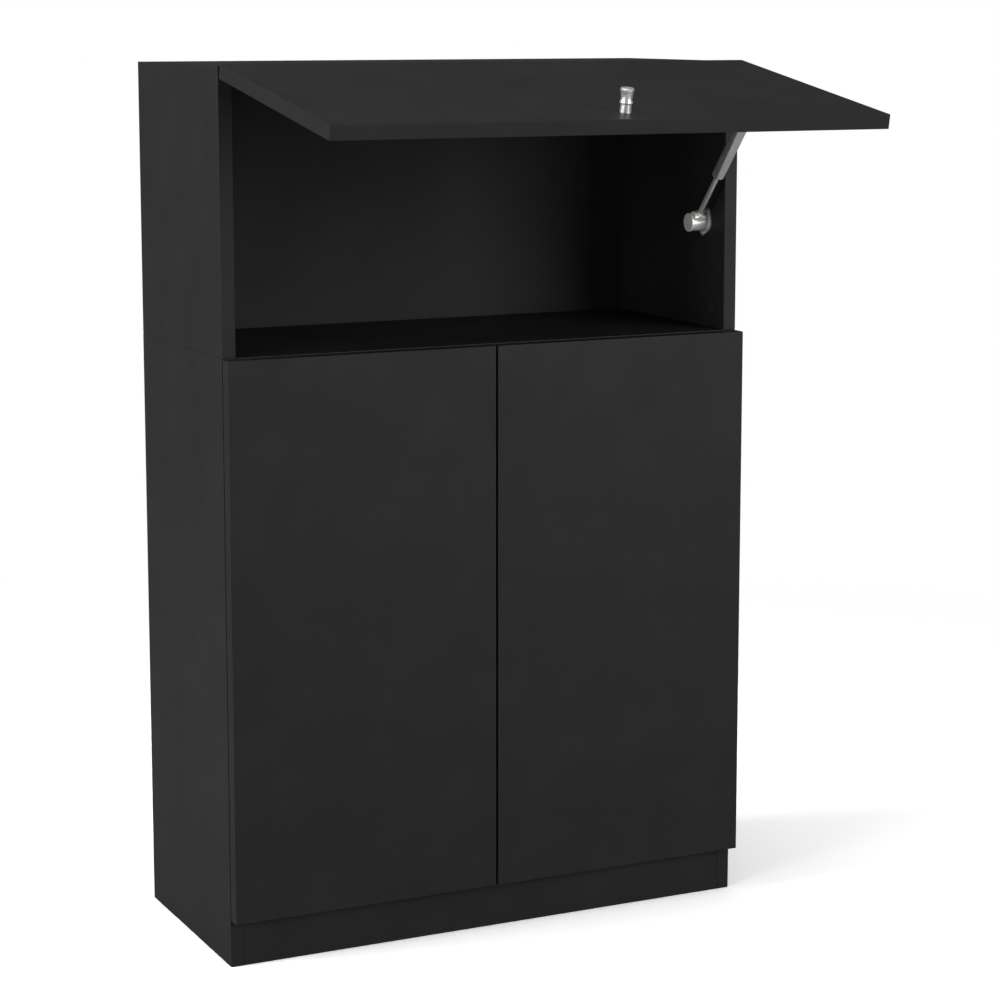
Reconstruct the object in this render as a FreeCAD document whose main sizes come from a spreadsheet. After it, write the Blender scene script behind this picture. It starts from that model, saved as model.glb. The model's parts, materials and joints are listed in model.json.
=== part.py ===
"""Two-module shoe cabinet: a two-door shoe cupboard below a lift-up flap compartment.

Millimetres, +Z up, +X to the right of somebody facing the doors, -Y towards them.
The flap is modelled open and the doors are modelled closed. The origin is on the
floor under the middle of the stored box, open flap included.
"""
import FreeCAD, Part
import math
import os
import Sketcher

from FreeCAD import Placement, Rotation, Vector

doc = FreeCAD.newDocument("shoe_cabinet")
sheet = doc.addObject("Spreadsheet::Sheet", "Sheet")

# ---------------------------------------------------------------- driving dimensions
DRIVING = {
    # carcass
    "width": 720.0,
    "depth": 300.0,
    "height": 1120.0,
    "seam_level": 768.0,
    "panel": 18.0,
    "plinth_height": 60.0,
    "back_sheet": 4.0,
    "back_inset": 8.0,
    "groove_depth": 6.0,
    "slack": 0.2,
    "shelf_setback": 30.0,
    # doors and flap
    "front_gap": 2.5,
    "door_panel": 18.0,
    "split_gap": 3.0,
    "door_bottom": 61.0,
    "door_top": 767.0,
    "flap_bottom": 770.0,
    "flap_swing": 80.2,
    # one-pivot cup hinge
    "pivot_inset": 6.5,
    "pivot_depth": 10.7,
    "cup_radius": 17.4,
    "cup_wall": 0.8,
    "cup_centre": 14.0,
    "cup_floor": 0.8,
    "cup_floor_drop": 2.3,
    "flange_radius": 19.0,
    "flange_sheet": 1.0,
    "pin_radius": 1.25,
    "running_gap": 0.05,
    "eye_radius": 2.1,
    "arm_sheet": 2.0,
    "arm_reach": 16.0,
    "arm_half_width": 3.2,
    "plate_height": 9.5,
    "plate_setback": 37.0,
    "door_hinge_edge": 100.0,
    "flap_hinge_side": 110.0,
    # knob
    "knob_height": 28.5,
    "knob_top_radius": 8.1,
    "knob_waist_radius": 6.8,
    "knob_ring_radius": 7.7,
    "knob_base_radius": 6.8,
    "knob_edge": 37.0,
    "knob_offset": 20.5,
    # gas strut
    "strut_offset": 35.0,
    "hub_back": 48.0,
    "hub_below_top": 212.5,
    "hub_radius": 11.5,
    "hub_length": 28.0,
    "cap_radius": 12.2,
    "stud_radius": 4.0,
    "rod_radius": 3.4,
    "tube_radius": 8.5,
    "tube_bore": 7.3,
    "bracket_along": 78.5,
    "bracket_tall": 36.0,
    "collar_top": 17.2,
    # push latch
    "latch_offset": 25.5,
    "latch_size": 15.0,
    "latch_length": 60.0,
    "plunger_radius": 4.0,
    # fittings
    "cam_radius": 7.4,
    "cam_height": 12.0,
    "cam_setback": 24.0,
    "bolt_radius": 3.0,
    "dowel_radius": 4.0,
    "dowel_half": 15.0,
    "shelf_pin_radius": 2.5,
    "screw_radius": 1.75,
    "screw_head": 3.6,
}
D = dict(DRIVING)

# The pivot of the flap and doors lies inside their thickness, in front of the carcass.
D["pivot_front"] = D["front_gap"] + D["pivot_depth"]
swing = math.radians(D["flap_swing"])
FLAP_LENGTH = D["height"] - D["flap_bottom"]
free_edge = FLAP_LENGTH - D["pivot_inset"]
outer_skin = D["door_panel"] - D["pivot_depth"]
flap_reach = D["pivot_front"] + outer_skin * math.cos(swing) + free_edge * math.sin(swing)
# Carcass front plane, placed so that the open flap and the back edge are equally far out.
D["front"] = round((flap_reach - D["depth"]) / 2, 4)

for row, (word, value) in enumerate(D.items(), start=1):
    sheet.set("A%d" % row, word)
    sheet.set("B%d" % row, repr(float(value)))
    sheet.setAlias("B%d" % row, word)
doc.recompute()

NODES = []
BODIES = {}


def bind(target, prop, formula):
    """Ties a property to the sheet; a bare word in braces is a cell: "{width} / 2"."""
    target.setExpression(prop, formula.replace("{", "Sheet.").replace("}", ""))


def body_named(label):
    body = doc.addObject("PartDesign::Body", label)
    body.Label = label
    NODES.append(body)
    BODIES[label] = body
    return body


def bind_base(target, x, y, z):
    for axis, formula in zip("xyz", (x, y, z)):
        bind(target, "Placement.Base." + axis, formula)


DIRECTIONS = {
    "+X": Rotation(Vector(0, 1, 0), 90),
    "-X": Rotation(Vector(0, 1, 0), -90),
    "+Y": Rotation(Vector(1, 0, 0), -90),
    "-Y": Rotation(Vector(1, 0, 0), 90),
    "+Z": Rotation(),
    "-Z": Rotation(Vector(1, 0, 0), 180),
}


def block(body, kind, corner, size):
    """An additive or subtractive box from its low corner and its size."""
    box = body.newObject("PartDesign::%sBox" % kind, "%s_box" % body.Name)
    bind_base(box, *corner)
    for prop, formula in zip(("Length", "Width", "Height"), size):
        bind(box, prop, formula)
    return box


def round_bar(body, kind, start, direction, radius, length):
    """An additive or subtractive cylinder that runs from start along a row axis."""
    bar = body.newObject("PartDesign::%sCylinder" % kind, "%s_bar" % body.Name)
    bar.Placement = Placement(Vector(), DIRECTIONS[direction])
    bind_base(bar, *start)
    bind(bar, "Radius", radius)
    bind(bar, "Height", length)
    return bar


def round_edges(body, feature, radius, wanted):
    """Rounds the edges of a feature that the test picks."""
    doc.recompute()
    names = ["Edge%d" % (i + 1) for i, e in enumerate(feature.Shape.Edges) if wanted(e)]
    fillet = body.newObject("PartDesign::Fillet", "%s_round" % body.Name)
    fillet.Base = (feature, names)
    fillet.Radius = radius
    return fillet


def along(edge, axis):
    """True if a straight edge runs along one of the axes 0, 1, 2."""
    if edge.Curve.TypeId != "Part::GeomLine":
        return False
    direction = edge.Curve.Direction
    return abs(abs(direction[axis]) - 1) < 1e-6


def group(label, solids):
    """Identical fasteners that share one node as separate solids."""
    feature = doc.addObject("Part::Feature", label)
    feature.Label = label
    feature.Shape = Part.Compound(solids)
    NODES.append(feature)
    return feature


def cyl(radius, length, start, direction):
    return Part.makeCylinder(radius, length, Vector(*start), Vector(*direction))


# ---------------------------------------------------------------- joinery positions
FRONT = D["front"]
HALF = D["width"] / 2
INNER = HALF - D["panel"]
REAR = "{front} + {depth}"

# Where a level panel meets a side: two cams and two dowels, as distances behind the front.
CAM_ROWS = (50.0, 240.0)
DOWEL_ROWS = (90.0, 200.0)
LEVEL_MID = {
    "upper_top_panel": D["height"] - D["panel"] / 2,
    "lower_top_panel": D["seam_level"] - D["panel"] / 2,
    "lower_bottom_panel": D["plinth_height"] + D["panel"] / 2,
}
PLINTH_CAM_LEVEL = 20.0
PLINTH_DOWEL_LEVEL = 42.0
MODULE_CAM_ROWS = (35.0, 262.0)
MODULE_DOWEL_ROWS = (70.0, 225.0)
# Depths and clearances of the bores; a bore runs a little past the fitting that it takes.
BOLT_DEPTH = 10.0
BOLT_HOLE = BOLT_DEPTH + 0.5
CAM_BORE = D["cam_height"] + 0.5
# A dowel sits this much deeper in the board's end than in the side, and stops short in the side.
DOWEL_SHIFT = 5.0
DOWEL_END_GAP = 0.2

SHELF_COUNT = 3
INTERIOR_LOW = D["plinth_height"] + D["panel"]
INTERIOR_HIGH = D["seam_level"] - D["panel"]
SHELF_PITCH = (INTERIOR_HIGH - INTERIOR_LOW - SHELF_COUNT * D["panel"]) / (SHELF_COUNT + 1)
SHELF_NAMES = ("lower_shelf", "middle_shelf", "upper_shelf")
SHELF_LEVELS = [
    INTERIOR_LOW + SHELF_PITCH + i * (SHELF_PITCH + D["panel"]) for i in range(SHELF_COUNT)
]
PIN_ROWS = (70.0, 250.0)
PIN_HOLE = 9.0
PIN_STEM = 8.0
PIN_PEG = 9.0
SHELF_END_GAP = 1.0
SHELF_BACK_GAP = 2.0


def number(value):
    return repr(round(float(value), 6))


def at_row(row):
    return "{front} + " + number(row)


# ---------------------------------------------------------------- carcass boards
def side_panel(label, sign, low, high, groove_high, levels):
    """A side board; sign is -1 on the left. levels are the level panels that it carries."""
    body = body_named(label)
    outer = "-{width} / 2" if sign < 0 else "{width} / 2 - {panel}"
    block(body, "Additive", (outer, "{front}", low), ("{panel}", "{depth}", high + " - " + low))
    groove = (
        "-{width} / 2 + {panel} - {groove_depth}" if sign < 0 else "{width} / 2 - {panel}"
    )
    block(
        body, "Subtractive",
        (groove, REAR + " - {back_inset} - {back_sheet} - {slack}", low),
        ("{groove_depth}", "{back_sheet} + 2 * {slack}", groove_high + " - " + low),
    )
    face = "%d * ({width} / 2 - {panel})" % sign
    into = "-X" if sign < 0 else "+X"
    for name in levels:
        for row in CAM_ROWS:
            round_bar(body, "Subtractive", (face, at_row(row), number(LEVEL_MID[name])), into,
                      "{bolt_radius} + {slack} / 2", number(BOLT_HOLE))
        for row in DOWEL_ROWS:
            round_bar(body, "Subtractive", (face, at_row(row), number(LEVEL_MID[name])), into,
                      "{dowel_radius} + {slack} / 2", "{dowel_half} - " + number(DOWEL_SHIFT))
    return body


def shelf_pin_holes(body, sign):
    face = "%d * ({width} / 2 - {panel})" % sign
    into = "-X" if sign < 0 else "+X"
    for level in SHELF_LEVELS:
        for row in PIN_ROWS:
            round_bar(body, "Subtractive",
                      (face, at_row(row), number(level) + " - {shelf_pin_radius}"), into,
                      "{shelf_pin_radius} + {slack} / 2", number(PIN_HOLE))


def plinth_side_holes(body, sign):
    face = "%d * ({width} / 2 - {panel})" % sign
    into = "-X" if sign < 0 else "+X"
    middle = "{front} + {panel} / 2"
    round_bar(body, "Subtractive", (face, middle, number(PLINTH_CAM_LEVEL)), into,
              "{bolt_radius} + {slack} / 2", number(BOLT_HOLE))
    round_bar(body, "Subtractive", (face, middle, number(PLINTH_DOWEL_LEVEL)), into,
              "{dowel_radius} + {slack} / 2", "{dowel_half} - " + number(DOWEL_SHIFT))


def module_holes(body, sign, into):
    """Holes across the seam: bolts and dowels that stand in the lower side's top edge."""
    middle = "%d * ({width} / 2 - {panel} / 2)" % sign
    bolt_length = number(BOLT_HOLE) if into == "-Z" else "{cam_setback}"
    for row in MODULE_CAM_ROWS:
        round_bar(body, "Subtractive", (middle, at_row(row), "{seam_level}"), into,
                  "{bolt_radius} + {slack} / 2", bolt_length)
    for row in MODULE_DOWEL_ROWS:
        round_bar(body, "Subtractive", (middle, at_row(row), "{seam_level}"), into,
                  "{dowel_radius} + {slack} / 2", "{dowel_half} + {slack}")
    if into == "+Z":
        face = "%d * ({width} / 2 - {panel})" % sign
        for row in MODULE_CAM_ROWS:
            round_bar(body, "Subtractive",
                      (face, at_row(row), "{seam_level} + {cam_setback}"),
                      "-X" if sign < 0 else "+X",
                      "{cam_radius} + {slack} / 2", number(CAM_BORE))


for side, sign in (("left", -1), ("right", 1)):
    lower = side_panel("lower_%s_side" % side, sign, "0", "{seam_level}", "{seam_level}",
                       ("lower_top_panel", "lower_bottom_panel"))
    shelf_pin_holes(lower, sign)
    plinth_side_holes(lower, sign)
    module_holes(lower, sign, "-Z")
    upper = side_panel("upper_%s_side" % side, sign, "{seam_level}", "{height}",
                       "{height} - {panel} + {groove_depth}", ("upper_top_panel",))
    module_holes(upper, sign, "+Z")


def end_holes(body, rows_cam, rows_dowel, level):
    """Bores in both ends of a level panel, and the cam bores in its underside."""
    for sign in (-1, 1):
        end = "%d * ({width} / 2 - {panel})" % sign
        inward = "+X" if sign < 0 else "-X"
        for row in rows_cam:
            round_bar(body, "Subtractive", (end, at_row(row), number(level)), inward,
                      "{bolt_radius} + {slack} / 2", "{cam_setback}")
            cam_x = "%d * ({width} / 2 - {panel} - {cam_setback})" % sign
            round_bar(body, "Subtractive",
                      (cam_x, at_row(row), number(level) + " - {panel} / 2"), "+Z",
                      "{cam_radius} + {slack} / 2", number(CAM_BORE))
        for row in rows_dowel:
            round_bar(body, "Subtractive", (end, at_row(row), number(level)), inward,
                      "{dowel_radius} + {slack} / 2",
                      "{dowel_half} + {slack} + " + number(DOWEL_SHIFT))


for label, mid in LEVEL_MID.items():
    body = body_named(label)
    low = number(mid) + " - {panel} / 2"
    # The bottom board stops in front of the back sheet; the others are grooved for it.
    reach = "{depth} - {back_inset} - {back_sheet} - {slack}" if "bottom" in label else "{depth}"
    block(body, "Additive", ("-{width} / 2 + {panel}", "{front}", low),
          ("{width} - 2 * {panel}", reach, "{panel}"))
    if label != "lower_bottom_panel":
        block(body, "Subtractive",
              ("-{width} / 2 + {panel}", REAR + " - {back_inset} - {back_sheet} - {slack}", low),
              ("{width} - 2 * {panel}", "{back_sheet} + 2 * {slack}", "{groove_depth}"))
    end_holes(body, CAM_ROWS, DOWEL_ROWS, mid)


def back_sheet(label, low, high):
    body = body_named(label)
    block(body, "Additive",
          ("-{width} / 2 + {panel} - {groove_depth} + {slack}",
           REAR + " - {back_inset} - {back_sheet}", low),
          ("{width} - 2 * {panel} + 2 * {groove_depth} - 2 * {slack}", "{back_sheet}",
           high + " - (" + low + ")"))


back_sheet("lower_back_panel", "{plinth_height}",
           "{seam_level} - {panel} + {groove_depth} - {slack}")
back_sheet("upper_back_panel", "{seam_level} + {slack}",
           "{height} - {panel} + {groove_depth} - {slack}")

plinth = body_named("plinth_board")
block(plinth, "Additive", ("-{width} / 2 + {panel}", "{front}", "0"),
      ("{width} - 2 * {panel}", "{panel}", "{plinth_height}"))
for sign in (-1, 1):
    end = "%d * ({width} / 2 - {panel})" % sign
    inward = "+X" if sign < 0 else "-X"
    middle = "{front} + {panel} / 2"
    round_bar(plinth, "Subtractive", (end, middle, number(PLINTH_CAM_LEVEL)), inward,
              "{bolt_radius} + {slack} / 2", "{cam_setback}")
    round_bar(plinth, "Subtractive", (end, middle, number(PLINTH_DOWEL_LEVEL)), inward,
              "{dowel_radius} + {slack} / 2",
                      "{dowel_half} + {slack} + " + number(DOWEL_SHIFT))
    cam_x = "%d * ({width} / 2 - {panel} - {cam_setback})" % sign
    round_bar(plinth, "Subtractive", (cam_x, "{front} + {panel}", number(PLINTH_CAM_LEVEL)),
              "-Y", "{cam_radius} + {slack} / 2", number(CAM_BORE))

for label, level in zip(SHELF_NAMES, SHELF_LEVELS):
    body = body_named(label)
    rear_gap = "{back_inset} - {back_sheet} - " + number(SHELF_BACK_GAP)
    block(body, "Additive",
          (number(SHELF_END_GAP) + " - {width} / 2 + {panel}", "{front} + {shelf_setback}",
           number(level)),
          ("{width} - 2 * {panel} - " + number(2 * SHELF_END_GAP),
           "{depth} - {shelf_setback} - " + rear_gap, "{panel}"))


# ---------------------------------------------------------------- carcass fasteners
CAM_WINDOW_GAP = 0.6
CAM_WINDOW_START = 3.0
CAM_SLOT = (1.4 * D["cam_radius"], 1.6, 3.0)
SHANK_RADIUS = 2.2
BOLT_COLLAR = 2.0
BOLT_HEAD = 4.0
BOLT_REACH = D["cam_setback"] - 3.0
DOWEL_CHAMFER = 0.8


def cam(centre, axis, towards):
    """A cam nut: a drum with a window on the bolt's side and a screwdriver slot."""
    axis = Vector(*axis)
    towards = Vector(*towards)
    start = Vector(*centre) - axis * D["cam_height"]
    drum = Part.makeCylinder(D["cam_radius"], D["cam_height"], start, axis)
    window = Part.makeCylinder(
        D["bolt_radius"] + CAM_WINDOW_GAP, D["cam_radius"] + CAM_WINDOW_START,
        Vector(*centre) - axis * D["panel"] / 2 - towards * CAM_WINDOW_START, towards)
    slot = Part.makeBox(*CAM_SLOT)
    slot.translate(Vector(*CAM_SLOT) * -0.5)
    slot.Placement = Placement(Vector(*centre), Rotation(Vector(0, 0, 1), axis)) * slot.Placement
    return drum.cut(window).cut(slot)


def cam_bolt(face, into):
    """A cam bolt: threaded stem in the side, shank and head in the other board's bore."""
    face = Vector(*face)
    into = Vector(*into)
    thread = Part.makeCylinder(D["bolt_radius"], BOLT_DEPTH, face, into)
    shank = Part.makeCylinder(SHANK_RADIUS, BOLT_REACH, face, into * -1)
    collar = Part.makeCylinder(D["bolt_radius"], BOLT_COLLAR, face, into * -1)
    head = Part.makeCylinder(D["bolt_radius"], BOLT_HEAD, face - into * BOLT_REACH, into * -1)
    return thread.fuse([shank, collar, head]).removeSplitter()


def dowel(face, into, deep, shallow):
    """A beech dowel with chamfered ends: deep goes into the level board's end."""
    face = Vector(*face)
    into = Vector(*into)
    peg = Part.makeCylinder(D["dowel_radius"], deep + shallow, face - into * deep, into)
    ends = [e for e in peg.Edges if e.Curve.TypeId == "Part::GeomCircle"]
    return peg.makeChamfer(DOWEL_CHAMFER, ends)


DOWEL_DEEP = D["dowel_half"] + DOWEL_SHIFT
DOWEL_SHALLOW = D["dowel_half"] - DOWEL_SHIFT - DOWEL_END_GAP
cams, bolts, dowels = [], [], []
for mid in LEVEL_MID.values():
    underside = mid - D["panel"] / 2
    for sign in (-1, 1):
        for row in CAM_ROWS:
            cams.append(cam((sign * (INNER - D["cam_setback"]), FRONT + row, underside),
                            (0, 0, -1), (sign, 0, 0)))
            bolts.append(cam_bolt((sign * INNER, FRONT + row, mid), (sign, 0, 0)))
        for row in DOWEL_ROWS:
            dowels.append(dowel((sign * INNER, FRONT + row, mid), (sign, 0, 0),
                                DOWEL_DEEP, DOWEL_SHALLOW))
for sign in (-1, 1):
    middle = FRONT + D["panel"] / 2
    cams.append(cam((sign * (INNER - D["cam_setback"]), FRONT + D["panel"], PLINTH_CAM_LEVEL),
                    (0, 1, 0), (sign, 0, 0)))
    bolts.append(cam_bolt((sign * INNER, middle, PLINTH_CAM_LEVEL), (sign, 0, 0)))
    dowels.append(dowel((sign * INNER, middle, PLINTH_DOWEL_LEVEL), (sign, 0, 0),
                        DOWEL_DEEP, DOWEL_SHALLOW))
    board_mid = sign * (HALF - D["panel"] / 2)
    for row in MODULE_CAM_ROWS:
        cams.append(cam((sign * INNER, FRONT + row, D["seam_level"] + D["cam_setback"]),
                        (-sign, 0, 0), (0, 0, -1)))
        bolts.append(cam_bolt((board_mid, FRONT + row, D["seam_level"]), (0, 0, -1)))
    for row in MODULE_DOWEL_ROWS:
        dowels.append(dowel((board_mid, FRONT + row, D["seam_level"]), (0, 0, -1),
                            D["dowel_half"], D["dowel_half"]))
group("cam_locks", cams)
group("cam_bolts", bolts)
group("dowels", dowels)


def shelf_pin(level, row, sign):
    """A steel shelf pin: a stem in the side and a peg under the shelf."""
    radius = D["shelf_pin_radius"]
    face = Vector(sign * INNER, FRONT + row, level - radius)
    inward = Vector(-sign, 0, 0)
    return Part.makeCylinder(radius, PIN_STEM + PIN_PEG, face - inward * PIN_STEM, inward)


group("shelf_pins", [
    shelf_pin(level, row, sign)
    for level in SHELF_LEVELS for row in PIN_ROWS for sign in (-1, 1)
])

# ---------------------------------------------------------------- hinges
# Local frame: X from the pivot along the door away from its hinged edge, Y into the
# cabinet, Z along the pin. The pivot is the origin.
CUP_SCREW = 24.0
CUP_TONGUE = (7.0, CUP_SCREW + 5.0)
# The lugs that hold the pin: near edge, length, height above the pin, thickness and gap.
LUG_START = -2.4
LUG_LENGTH = 5.4
LUG_RISE = 3.0
LUG_THICK = 2.1
LUG_GAP = 0.3
SCREW_CLEAR = 0.25
ARM_TURN = 5.0
ARM_BACK = D["pivot_front"] + 62.0
ARM_BODY_START = D["pivot_front"] + 6.0
ARM_LAP = 4.0
CHANNEL_HALF = 8.5
CHANNEL_TALL = D["arm_sheet"] + 2.5
CHANNEL_CORNER = 2.4
SIDE_FACE = D["panel"] - D["pivot_inset"]
PLATE_MID = D["pivot_front"] + D["plate_setback"]
PLATE_SCREW = 16.0
RAIL_HALF = (22.0, 6.5)
WING_HALF = (6.5, 24.0)
WING_SHEET = 2.5
WING_CORNER = 4.0
ARM_LOW = SIDE_FACE + D["plate_height"]
ARM_SCREW_RADIUS = 2.0
ARM_SCREW_HEAD = 4.0
ARM_SCREW_LENGTH = 8.0
ARM_SCREW_THREAD = 0.05
ARM_SCREW_CLEAR = 0.15
# A cutter this much longer than the sheet it goes through comes out of both faces.
OVERSHOOT = 1.0


SCREW_HOLE = "{screw_radius} + " + number(SCREW_CLEAR)


def hinge_cup(label, spot):
    """A drilled-in cup with its screw-on flange and the two lugs that hold the pin."""
    body = body_named(label)
    bottom = "-{cup_floor_drop} - {cup_floor}"
    centre = "{cup_centre}"
    round_bar(body, "Additive", (centre, bottom, "0"), "+Y", "{cup_radius}",
              "{pivot_depth} + {cup_floor_drop} + {cup_floor}")
    round_bar(body, "Additive", (centre, "{pivot_depth}", "0"), "+Y", "{flange_radius}",
              "{flange_sheet}")
    tongue_x, tongue_z = CUP_TONGUE
    block(body, "Additive",
          ("{cup_centre} - " + number(tongue_x), "{pivot_depth}", number(-tongue_z)),
          (number(2 * tongue_x), "{flange_sheet}", number(2 * tongue_z)))
    round_bar(body, "Subtractive", (centre, "-{cup_floor_drop}", "0"), "+Y",
              "{cup_radius} - {cup_wall}",
              "{pivot_depth} + {cup_floor_drop} + {flange_sheet} + " + number(OVERSHOOT))
    # Two lugs stand on the floor beside the near wall and take the pin.
    lug_inner = D["arm_half_width"] + LUG_GAP
    for low in (lug_inner, -lug_inner - LUG_THICK):
        block(body, "Additive", (number(LUG_START), bottom, number(low)),
              (number(LUG_LENGTH), "{cup_floor_drop} + {cup_floor} + " + number(LUG_RISE),
               number(LUG_THICK)))
    lug_reach = lug_inner + LUG_THICK + OVERSHOOT
    round_bar(body, "Subtractive", ("0", "0", number(-lug_reach)), "+Z",
              "{pin_radius} + {running_gap}", number(2 * lug_reach))
    for z in (-CUP_SCREW, CUP_SCREW):
        round_bar(body, "Subtractive", (centre, "{pivot_depth}", number(z)), "+Y",
                  SCREW_HOLE, "{flange_sheet} + " + number(OVERSHOOT))
    body.Placement = spot
    return body


def hinge_arm(label, spot):
    """A goose-neck arm: eye, neck and bend in one sheet, then the channel over the plate."""
    body = body_named(label)
    round_bar(body, "Additive", ("0", "0", "-{arm_half_width}"), "+Z", "{eye_radius}",
              "2 * {arm_half_width}")
    sketch = body.newObject("Sketcher::SketchObject", label + "_neck")
    plane = [f for f in body.Origin.OriginFeatures if f.Role == "XY_Plane"][0]
    sketch.AttachmentSupport = (plane, [""])
    sketch.MapMode = "FlatFace"
    half = D["arm_sheet"] / 2
    reach = D["arm_reach"]
    big = ARM_TURN + D["arm_sheet"]
    neck_end = ARM_BODY_START + ARM_LAP
    turn = Vector(reach, big - half, 0)
    up = Vector(0, 0, 1)
    lines = [
        (Vector(0, -half, 0), Vector(reach, -half, 0)),
        (Vector(reach + big, big - half, 0), Vector(reach + big, neck_end, 0)),
        (Vector(reach + big, neck_end, 0), Vector(reach + ARM_TURN, neck_end, 0)),
        (Vector(reach + ARM_TURN, neck_end, 0), Vector(reach + ARM_TURN, big - half, 0)),
        (Vector(reach, half, 0), Vector(0, half, 0)),
        (Vector(0, half, 0), Vector(0, -half, 0)),
    ]
    for start, end in lines:
        sketch.addGeometry(Part.LineSegment(start, end))
    for radius in (big, ARM_TURN):
        circle = Part.Circle(turn, up, radius)
        sketch.addGeometry(Part.ArcOfCircle(circle, -math.pi / 2, 0))
    pad = body.newObject("PartDesign::Pad", label + "_pad")
    pad.Profile = sketch
    pad.Midplane = True
    bind(pad, "Length", "2 * {arm_half_width}")
    channel = block(
        body, "Additive",
        (number(ARM_LOW), number(ARM_BODY_START), number(-CHANNEL_HALF)),
        (number(CHANNEL_TALL), number(ARM_BACK - ARM_BODY_START), number(2 * CHANNEL_HALF)))
    rounded = round_edges(body, channel, CHANNEL_CORNER,
                          lambda e: along(e, 0) and abs(e.CenterOfMass.z) > D["arm_half_width"])
    body.Tip = rounded
    eye_reach = D["arm_half_width"] + OVERSHOOT
    round_bar(body, "Subtractive", ("0", "0", number(-eye_reach)), "+Z", "{pin_radius}",
              number(2 * eye_reach))
    round_bar(body, "Subtractive", (number(ARM_LOW - OVERSHOOT), number(PLATE_MID), "0"), "+X",
              number(ARM_SCREW_RADIUS + ARM_SCREW_CLEAR), number(CHANNEL_TALL + 2 * OVERSHOOT))
    body.Placement = spot
    return body


def hinge_plate(label, spot):
    """A cross mounting plate: screwed wings and the rail that carries the arm."""
    body = body_named(label)
    rail_y, rail_z = RAIL_HALF
    wing_y, wing_z = WING_HALF
    block(body, "Additive", (number(SIDE_FACE), number(PLATE_MID - rail_y), number(-rail_z)),
          ("{plate_height} - {slack}", number(2 * rail_y), number(2 * rail_z)))
    wings = block(body, "Additive",
                  (number(SIDE_FACE), number(PLATE_MID - wing_y), number(-wing_z)),
                  (number(WING_SHEET), number(2 * wing_y), number(2 * wing_z)))
    rounded = round_edges(body, wings, WING_CORNER,
                          lambda e: along(e, 0) and abs(e.CenterOfMass.z) > PLATE_SCREW)
    body.Tip = rounded
    under = number(SIDE_FACE - OVERSHOOT)
    for z in (-PLATE_SCREW, PLATE_SCREW):
        round_bar(body, "Subtractive", (under, number(PLATE_MID), number(z)), "+X",
                  SCREW_HOLE, number(WING_SHEET + 2 * OVERSHOOT))
    round_bar(body, "Subtractive", (under, number(PLATE_MID), "0"), "+X",
              number(ARM_SCREW_RADIUS + ARM_SCREW_THREAD),
              "{plate_height} + " + number(2 * OVERSHOOT))
    body.Placement = spot
    return body


POINT_TAPER = 1.6
POINT_TIP = 0.25
HEAD_TALL = 0.33
HEAD_ROUND = 0.2


def screw(tip_length, radius, head_radius):
    """A pan-head screw standing on the origin: head up +Z, stem down."""
    stem = Part.makeCylinder(radius, tip_length, Vector(0, 0, -tip_length))
    taper = radius * POINT_TAPER
    point = Part.makeCone(radius * POINT_TIP, radius, taper, Vector(0, 0, -tip_length - taper))
    head = Part.makeCylinder(head_radius, head_radius * HEAD_TALL)
    rim = [e for e in head.Edges if e.Curve.TypeId == "Part::GeomCircle" and e.CenterOfMass.z > 0.1]
    head = head.makeFillet(head_radius * HEAD_ROUND, rim)
    return stem.fuse([point, head]).removeSplitter()


def placed(shape, place):
    """A copy of a shape moved by a placement."""
    copy = shape.copy()
    copy.Placement = place.multiply(copy.Placement)
    return copy


pivot_x = HALF - D["pivot_inset"]
pivot_y = FRONT - D["pivot_front"]
pivot_z = D["height"] - D["pivot_inset"]
FLAP_AXIS = Vector(0, pivot_y, pivot_z)
FLAP_OPEN = Placement(Vector(), Rotation(Vector(1, 0, 0), -D["flap_swing"]), FLAP_AXIS)
# A flap piece is laid out closed: local X then points down, and the pin lies along +X.
FLAP_TURN = Rotation(Vector(0, 1, 0), 90)

door_levels = {
    "lower": D["door_bottom"] + D["door_hinge_edge"],
    "upper": D["door_top"] - D["door_hinge_edge"],
}
hinge_spots = {}
for side, sign in (("left", -1), ("right", 1)):
    turn = Rotation() if sign < 0 else Rotation(Vector(0, 1, 0), 180)
    for end, level in door_levels.items():
        name = "%s_door_%s" % (side, end)
        hinge_spots[name] = Placement(Vector(sign * pivot_x, pivot_y, level), turn)
flap_hinge_x = HALF - D["flap_hinge_side"]
for side, sign in (("left", -1), ("right", 1)):
    hinge_spots["flap_" + side] = Placement(
        Vector(sign * flap_hinge_x, pivot_y, pivot_z), FLAP_TURN)

for name, spot in hinge_spots.items():
    moved = FLAP_OPEN.multiply(spot) if name.startswith("flap") else spot
    hinge_cup(name + "_cup", moved)
    hinge_arm(name + "_arm", spot)
    hinge_plate(name + "_plate", spot)

PIN_HALF = D["arm_half_width"] + LUG_GAP + LUG_THICK + 1.0
pin = cyl(D["pin_radius"], 2 * PIN_HALF, (0, 0, -PIN_HALF), (0, 0, 1))
group("hinge_pins", [placed(pin, spot) for spot in hinge_spots.values()])

arm_screw = screw(ARM_SCREW_LENGTH, ARM_SCREW_RADIUS, ARM_SCREW_HEAD)
arm_screw_at = Placement(Vector(ARM_LOW + CHANNEL_TALL, PLATE_MID, 0),
                         Rotation(Vector(0, 1, 0), 90))
group("hinge_arm_screws",
      [placed(arm_screw, spot.multiply(arm_screw_at)) for spot in hinge_spots.values()])

WOOD_SCREW_LENGTH = 11.0
wood_screw = screw(WOOD_SCREW_LENGTH, D["screw_radius"], D["screw_head"])
plate_spots = [
    Placement(Vector(SIDE_FACE + WING_SHEET, PLATE_MID, z), Rotation(Vector(0, 1, 0), 90))
    for z in (-PLATE_SCREW, PLATE_SCREW)
]
cup_spots = [
    Placement(Vector(D["cup_centre"], D["pivot_depth"] + D["flange_sheet"], z), DIRECTIONS["+Y"])
    for z in (-CUP_SCREW, CUP_SCREW)
]

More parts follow.
